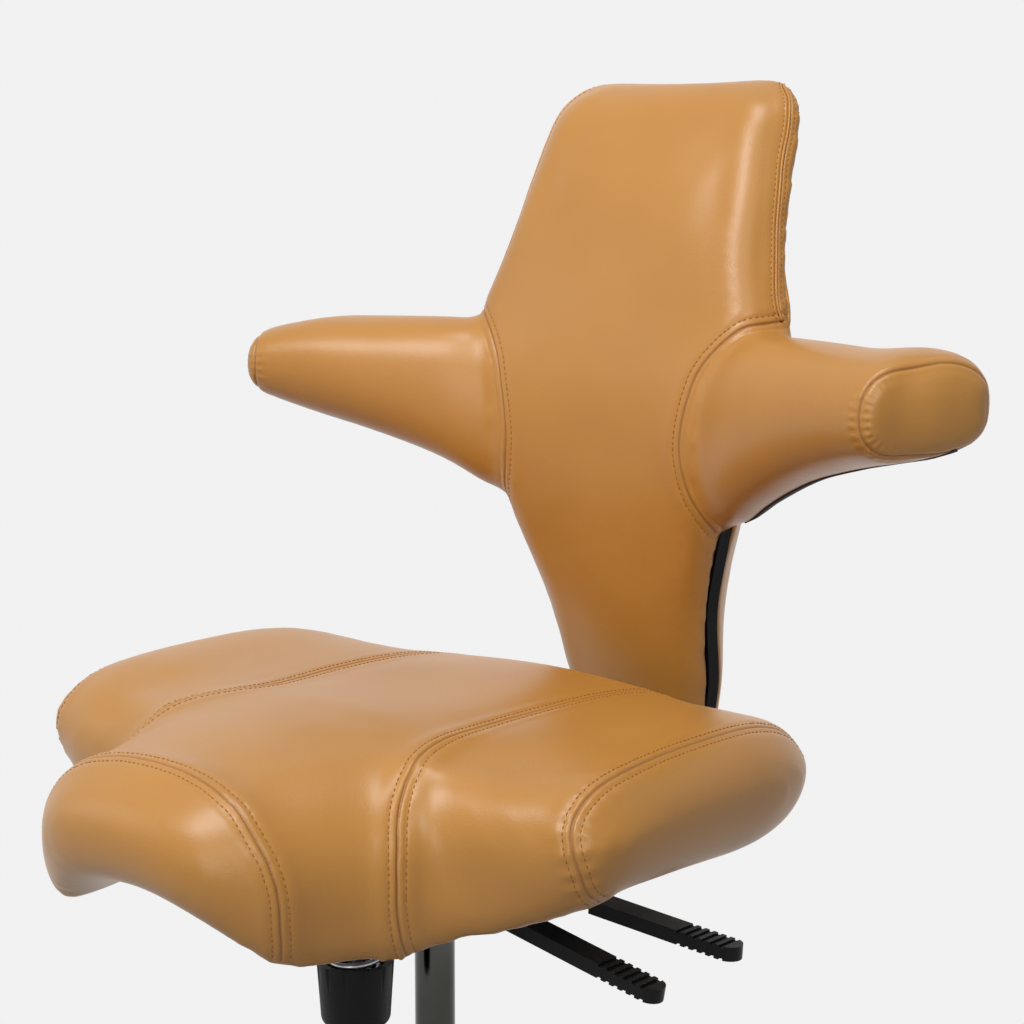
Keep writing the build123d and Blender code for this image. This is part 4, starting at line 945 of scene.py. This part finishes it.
# %% Back seams
ROOT_SEAM = [
    (138, 213, 846), (130, 200, 844), (121, 188, 842), (111, 181, 834), (102, 176, 824), (94, 172, 812),
    (89, 169, 799), (83, 167, 774), (81, 167, 752), (85, 171, 727), (92, 179, 708), (98, 194, 691),
]
SIDE_SEAM = [
    (138, 211, 846), (134, 211, 852), (130, 213, 864), (124, 221, 888), (118, 229, 911),
    (114, 237, 932), (110, 246, 956), (107, 257, 979), (100, 268, 1000), (91, 275, 1009),
    (86, 286, 1013),
]
CAP_MIDDLE = (299, 127, 800)
CAP_WAY = (0.58, 0.81, 0)
CAP_STEP = 4  # in degrees


def cap_loop(surface, side):
    """The line where the plane of an end cap's seam cuts the arm."""
    centre = Vector((side * CAP_MIDDLE[0], *CAP_MIDDLE[1:])) * MM
    backward = Vector((side * CAP_WAY[0], *CAP_WAY[1:]))
    loop = []
    for degrees in range(0, 360 + CAP_STEP, CAP_STEP):
        way = backward * cos(radians(degrees)) + UPWARD * sin(radians(degrees))
        loop.append(surface.ray_cast(centre, way)[0])
    return [p for p in loop if p is not None]


def back_lines(surface):
    """The seams round both arms and those of both end caps, on the skin of the back."""
    lines = [flow(half) for half in both_sides(ROOT_SEAM)]
    lines += [flow(cap_loop(surface, side)) for side in (1, -1)]
    return [settle(line, surface) for line in lines]


side_edges = [flow(half) for half in both_sides(SIDE_SEAM)]
lower_edges = [flow(half) for half in both_sides(LOWER_EDGE)]
print("side edge points:", len(side_edges[0]))

# %% Back skin
BACK_VOXEL = 4.0 * MM
BACK_SMOOTHING = 7
ROOT_SOFTNESS = 22 * MM  # how far from a seam or an edge the joined forms are relaxed
EDGE_SOFTNESS = 14 * MM
SOFT_ROUNDS = 14
EDGE_HOLD = 15 * MM
REAR_FACING = 0.2
BACK_CAP = 4 * MM
back = new_piece("back_leather", *joined(node_mesh("back_cushion"), arm(1), arm(-1), gusset(),
                                        rolled_edge(1), rolled_edge(-1)))
remesh(back, BACK_VOXEL)
smooth(back, BACK_SMOOTHING)
root, _ = seam_distance(back, back_lines(surface_of(back))[:2], WIDE_OF_SEAM)
edge, _ = seam_distance(back, lower_edges + side_edges, WIDE_OF_SEAM)
relax(back, np.maximum(bell(root, 0, ROOT_SOFTNESS), bell(edge, 0, EDGE_SOFTNESS)), SOFT_ROUNDS)
distance, _ = seam_distance(back, back_lines(surface_of(back)))
edge, _ = seam_distance(back, side_edges)
held = (distance < PIN_REACH) | (edge < EDGE_HOLD) | (normals(back)[:, 1] > REAR_FACING)
swell(back, held, BACK_CAP)
smooth(back, LAST_SMOOTHING)
subdivide(back)
print("back faces:", len(back.data.polygons))

# %% Back sewing
SIDE_STITCH_OFFSET = 3.8 * MM
PIPING_RADIUS = 1.0 * MM
CAP_PUCKERS = [((side * 0.281, 0.098, 0.790), 0.024, 0.4 * MM, 4.2 * MM) for side in (1, -1)]
back_surface = surface_of(back)
back_seams = back_lines(back_surface)
arm_seams, cap_seams = back_seams[:2], back_seams[2:]
side_seams = [settle(line, back_surface) for line in side_edges]
back_rows = [beside(line, back_surface, offset)
             for line, offset in zip(arm_seams, (STITCH_OFFSET, -STITCH_OFFSET))]
back_rows += [beside(line, back_surface, offset) for line in side_seams
              for offset in (SIDE_STITCH_OFFSET, -SIDE_STITCH_OFFSET)]
sew(back, [(arm_seams, TOPSTITCHED), (cap_seams, TIGHT), (side_seams, WELTED)], CAP_PUCKERS)
back_surface = surface_of(back)
back_thread = stitches("back_stitching", back_rows, back_surface)
piping = new_piece("back_piping", *joined(*[tube(line, PIPING_RADIUS) for line in side_seams]))
wear(piping, camel, "back")
wear(back, camel, "back")
wear(back_thread, thread, "back")
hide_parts("back_cushion", "arm_pad_left", "arm_pad_right")
print("back stitch faces:", len(back_thread.data.polygons))

# %% [markdown]
# ## The rear panel
# Behind the back a bowed panel hides the upright and the carriage. It is rebuilt from its CAD
# solid on a fine grid, so that its edge is softly rounded, as leather over board is. At the neck it
# is drawn in a little, so that the black shell's rim shows beside it as in the photograph.

# %% Rear panel
REAR_VOXEL = 2.2 * MM
REAR_SMOOTHING = 8
NECK_TAPER = 0.05
NECK_FADE = (0.66, 0.72)  # heights between which the taper ends
rear = new_piece("rear_panel", *node_mesh("back_cover"))
remesh(rear, REAR_VOXEL)
smooth(rear, REAR_SMOOTHING)
places = coords(rear)
places[:, 0] *= 1 - NECK_TAPER * (1 - ramp(places[:, 2], *NECK_FADE))
set_coords(rear, places)
wear(rear, camel, "back")
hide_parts("back_cover")
print("rear panel faces:", len(rear.data.polygons))

# %% [markdown]
# ## The tape under the arms
# A black woven tape runs along the underside of each arm, where the cover closes. It shows as a
# thin dark line below the arm. Rays cast upwards find the leather, and a shallow strip is laid on it.

# %% Under-arm tape
TAPE_DARK = (0.006, 0.006, 0.008)
TAPE_LIGHT = (0.014, 0.013, 0.016)
WEAVE_SCALE = 900.0
WEAVE_STRENGTH = 0.5
TAPE_ROUGHNESS = 0.75
TAPE_LINE = [
    (112, 214), (130, 204), (160, 188), (190, 176), (220, 164), (250, 154), (280, 147), (300, 148),
    (312, 153),
]
TAPE_STEP = 5 * MM
TAPE_HALF = 6.0 * MM
TAPE_RISE = 0.9 * MM
TAPE_SINK = 1.0 * MM
BELOW_ARMS = 0.68  # height from which the rays start


def tape_finish():
    """Black woven tape."""
    material, tree, shader = new_finish("black_tape")
    weave = object_noise(tree, WEAVE_SCALE)
    tree.links.new(colour_drift(tree, weave, TAPE_DARK, TAPE_LIGHT), shader.inputs["Base Color"])
    bump(tree, shader, weave.outputs["Fac"], WEAVE_STRENGTH, FINE_RELIEF)
    shader.inputs["Roughness"].default_value = TAPE_ROUGHNESS
    return material


def tape_rings(side):
    """Sections of the tape along the underside of an arm, left out where a ray misses it."""
    path = flow([(side * x * MM, y * MM, BELOW_ARMS) for x, y in TAPE_LINE], TAPE_STEP)
    rings = []
    for i, p in enumerate(path):
        way = (path[min(i + 1, len(path) - 1)] - path[max(i - 1, 0)]).normalized()
        across = UPWARD.cross(way)
        hits = [back_surface.ray_cast(p + across * offset, UPWARD) for offset in (-TAPE_HALF, 0, TAPE_HALF)]
        if all(hit is not None for hit, *_ in hits):
            low = [hit + up * TAPE_RISE for hit, up, *_ in hits]
            high = [hit - up * TAPE_SINK for hit, up, *_ in reversed(hits)]
            rings.append(low + high)
    return rings


black_tape = tape_finish()
for side, word in ((1, "left"), (-1, "right")):
    tape = new_piece("arm_tape_" + word, *skin_rings(tape_rings(side)))
    wear(tape, black_tape, "back")
    print(tape.name, "faces:", len(tape.data.polygons))

# %% [markdown]
# ## Finishes of the hard parts
# The base, the column, the mechanism and the castors keep their CAD shapes. Each material gets the
# fine detail of the real one: a slight orange-peel skin on powder coat, a fine grain on moulded
# plastic, a fine relief on plated steel.

# %% Hard finishes
SHADE_SCALE = 20.0
SMUDGE_SCALE = 40.0
HARD_SPECULAR = 0.16
# For each slot: name, dark and light shade, lowest and highest roughness, metal (0 or 1), and the
# scale and strength of the fine relief.
HARD_FINISHES = {
    "black_plastic": ("black_mould", (0.006, 0.006, 0.007), (0.010, 0.010, 0.012),
        (0.4, 0.5), 0, 1600.0, 0.25),
    "black_frame": ("powder_coat", (0.006, 0.006, 0.007), (0.011, 0.011, 0.012),
        (0.36, 0.46), 0, 700.0, 0.3),
    "cast_base": ("coated_casting", (0.012, 0.012, 0.013), (0.019, 0.019, 0.021),
        (0.32, 0.45), 0, 500.0, 0.3),
    "dark_chrome": ("dark_chrome", (0.055, 0.055, 0.05), (0.075, 0.075, 0.07),
        (0.12, 0.18), 1, 300.0, 0.05),
    "bright_steel": ("zinc_steel", (0.50, 0.50, 0.51), (0.58, 0.58, 0.58),
        (0.28, 0.4), 1, 900.0, 0.15),
    "rubber": ("black_rubber", (0.012, 0.012, 0.012), (0.02, 0.02, 0.02),
        (0.6, 0.75), 0, 1200.0, 0.3),
    "castor_plastic": ("castor_mould", (0.011, 0.011, 0.012), (0.017, 0.017, 0.019),
        (0.36, 0.46), 0, 1300.0, 0.25),
    "castor_steel": ("castor_zinc", (0.46, 0.46, 0.47), (0.54, 0.54, 0.55),
        (0.3, 0.42), 1, 900.0, 0.15),
    "wheel_tread": ("soft_tread", (0.020, 0.020, 0.022), (0.03, 0.03, 0.033),
        (0.55, 0.68), 0, 1000.0, 0.3),
}


def hard_finish(name, dark, light, rough, metal, scale, relief):
    """A hard material with a drifting shade, uneven gloss and a fine relief."""
    material, tree, shader = new_finish(name)
    shade = colour_drift(tree, object_noise(tree, SHADE_SCALE), dark, light)
    tree.links.new(shade, shader.inputs["Base Color"])
    gloss = between(tree, object_noise(tree, SMUDGE_SCALE), *rough)
    tree.links.new(gloss, shader.inputs["Roughness"])
    shader.inputs["Metallic"].default_value = metal
    shader.inputs["Specular IOR Level"].default_value = HARD_SPECULAR
    bump(tree, shader, object_noise(tree, scale).outputs["Fac"], relief, FINE_RELIEF)
    return material


finishes = {slot: hard_finish(*values) for slot, values in HARD_FINISHES.items()}
for row in frame["record"]["subparts"]:
    if row["material_slot"] in finishes:
        piece = frame["nodes"][row["node"]]
        if not piece.material_slots:
            piece.data.materials.append(finishes[row["material_slot"]])
        for slot in piece.material_slots:
            slot.material = finishes[row["material_slot"]]
print("hard finishes:", len(finishes))

# %% [markdown]
# ## The tilt spring
# A steel coil stands between the cup of the tension knob and the housing above it, and closes up as the
# seat tilts back. The knob swings with the seat, so a stiff coil would cut through the cup. The coil is
# a piece of its own, a ring of points swept along a helix that fills the CAD spring's box.

# %% Tilt spring
COIL_TURNS = 6
COIL_STEPS = 32  # rings in one turn
WIRE_RADIUS = 2.25 * MM
WIRE_SIDES = 10


def coil_rings(low, high):
    """Rings of wire along a helix that fills the spring's box."""
    radius = (high.x - low.x) / 2 - WIRE_RADIUS
    rise = high.z - low.z - 2 * WIRE_RADIUS
    foot = Vector(((low.x + high.x) / 2, (low.y + high.y) / 2, low.z + WIRE_RADIUS))
    count = COIL_TURNS * COIL_STEPS
    rings = []
    for step in range(count + 1):
        turn = 2 * pi * step / COIL_STEPS
        out = Vector((cos(turn), sin(turn), 0))
        middle = foot + UPWARD * (rise * step / count) + out * radius
        rings.append(round_ring(middle, out, -UPWARD, WIRE_RADIUS, WIRE_SIDES))
    return rings


spring_low, spring_high = (Vector(corner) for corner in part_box("tilt_spring"))
coil = new_piece("tilt_coil", *skin_rings(coil_rings(spring_low, spring_high)))
coil.data.materials.append(finishes["bright_steel"])
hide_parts("tilt_spring")
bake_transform(coil)
print("coil faces:", len(coil.data.polygons))

# %% [markdown]
# ## Studio
# The photograph was taken in front of a pale, even backdrop with broad soft lamps. Two of them stand
# high in front, one to each side of the chair, and light the seat and the back. A tall narrow one draws
# the long glint down the edge of the back, and a small one above gives the glints on the seat's
# shoulders. A weak one on the far side and one behind keep the other sides readable. The floor and the
# world look pale to the camera through the light path, which adds no light to the chair.
# Near the chair the floor glows less, so it is darker there: partly its real shadow, partly painted shade.

# %% Floor
BACKDROP = 0.885
FLOOR_SHADE = 0.32
FLOOR_ROUGHNESS = 0.9
FLOOR_HALF = 30
GLOW_REACH = (0.35, 0.92)  # the glow grows between these distances from the column
# the glow's share at the chair: a painted darkening of the floor round it, also seen in the chair's
# reflections
NEAR_GLOW = 0.45


def seen_directly(tree):
    """1 for rays from the camera, from gloss and through glass."""
    path = tree.nodes.new("ShaderNodeLightPath").outputs
    seen = combine(tree, "MAXIMUM", path["Is Camera Ray"], path["Is Glossy Ray"])
    return combine(tree, "MAXIMUM", seen, path["Is Transmission Ray"])


def floor_glow(tree):
    """The share of glow on the floor, less near the chair, where the darker floor is partly its real shadow
    and partly painted shade.
    """
    place = tree.nodes.new("ShaderNodeTexCoord")
    reach = tree.nodes.new("ShaderNodeVectorMath")
    reach.operation = "LENGTH"
    tree.links.new(place.outputs["Object"], reach.inputs[0])
    fade = node(tree, "ShaderNodeMapRange", From_Min=GLOW_REACH[0], From_Max=GLOW_REACH[1],
                To_Min=NEAR_GLOW, To_Max=1.0)
    tree.links.new(reach.outputs["Value"], fade.inputs["Value"])
    return combine(tree, "MULTIPLY", seen_directly(tree), fade.outputs["Result"])


def floor_finish():
    """A grey floor that glows as pale as the backdrop."""
    material, tree, shader = new_finish("pale_floor")
    shader.inputs["Base Color"].default_value = (FLOOR_SHADE, FLOOR_SHADE, FLOOR_SHADE, 1)
    shader.inputs["Roughness"].default_value = FLOOR_ROUGHNESS
    glow = node(tree, "ShaderNodeEmission", Color=(BACKDROP, BACKDROP, BACKDROP, 1))
    mix = tree.nodes.new("ShaderNodeMixShader")
    tree.links.new(floor_glow(tree), mix.inputs["Fac"])
    tree.links.new(shader.outputs["BSDF"], mix.inputs[1])
    tree.links.new(glow.outputs["Emission"], mix.inputs[2])
    tree.links.new(mix.outputs["Shader"], tree.nodes["Material Output"].inputs["Surface"])
    return material


floor_corners = [(x * FLOOR_HALF, y * FLOOR_HALF, 0) for x, y in ((-1, -1), (1, -1), (1, 1), (-1, 1))]
floor = new_piece("floor", floor_corners, [(0, 1, 2, 3)])
floor.data.materials.append(floor_finish())
print("floor:", 2 * FLOOR_HALF, "m wide")

# %% World
AMBIENT = 0.06
world = bpy.data.worlds.new("studio")
scene.world = world
world.use_nodes = True
sky = world.node_tree.nodes["Background"]
sky.inputs["Color"].default_value = (1, 1, 1, 1)
strength = node(world.node_tree, "ShaderNodeMapRange", To_Min=AMBIENT, To_Max=BACKDROP)
world.node_tree.links.new(seen_directly(world.node_tree), strength.inputs["Value"])
world.node_tree.links.new(strength.outputs["Result"], sky.inputs["Strength"])
print("world light:", AMBIENT)

# %% Lamps
def lamp(name, place, target, size, power):
    """A soft rectangular lamp that looks at a target."""
    data = bpy.data.lights.new(name, "AREA")
    data.shape = "RECTANGLE"
    data.size, data.size_y = size
    data.energy = power
    made = bpy.data.objects.new(name, data)
    made.location = place
    made.rotation_euler = (Vector(target) - Vector(place)).to_track_quat("-Z", "Y").to_euler()
    scene.collection.objects.link(made)
    return made


lamp("front_lamp", (-0.1, -1.7, 2.8), (0, 0, 0.65), (1.0, 1.0), 33)
lamp("right_lamp", (1.8, -1.9, 2.4), (0, 0, 0.7), (1.0, 1.0), 17)
lamp("tall_lamp", (0.75, -2.4, 1.2), (0, 0.2, 0.85), (0.6, 1.3), 9)
lamp("left_lamp", (-2.1, -1.7, 1.6), (0, 0.1, 0.75), (1.2, 1.2), 5)
lamp("top_lamp", (0.1, -0.2, 2.4), (0, 0, 0.6), (0.5, 0.5), 8)
rear_lamp = lamp("rear_lamp", (0.4, 2.6, 0.8), (0, 0.25, 0.75), (1.2, 0.8), 16)
rear_lamp.visible_glossy = False  # it makes no glint on the wing ends
scene.view_settings.view_transform = "Standard"
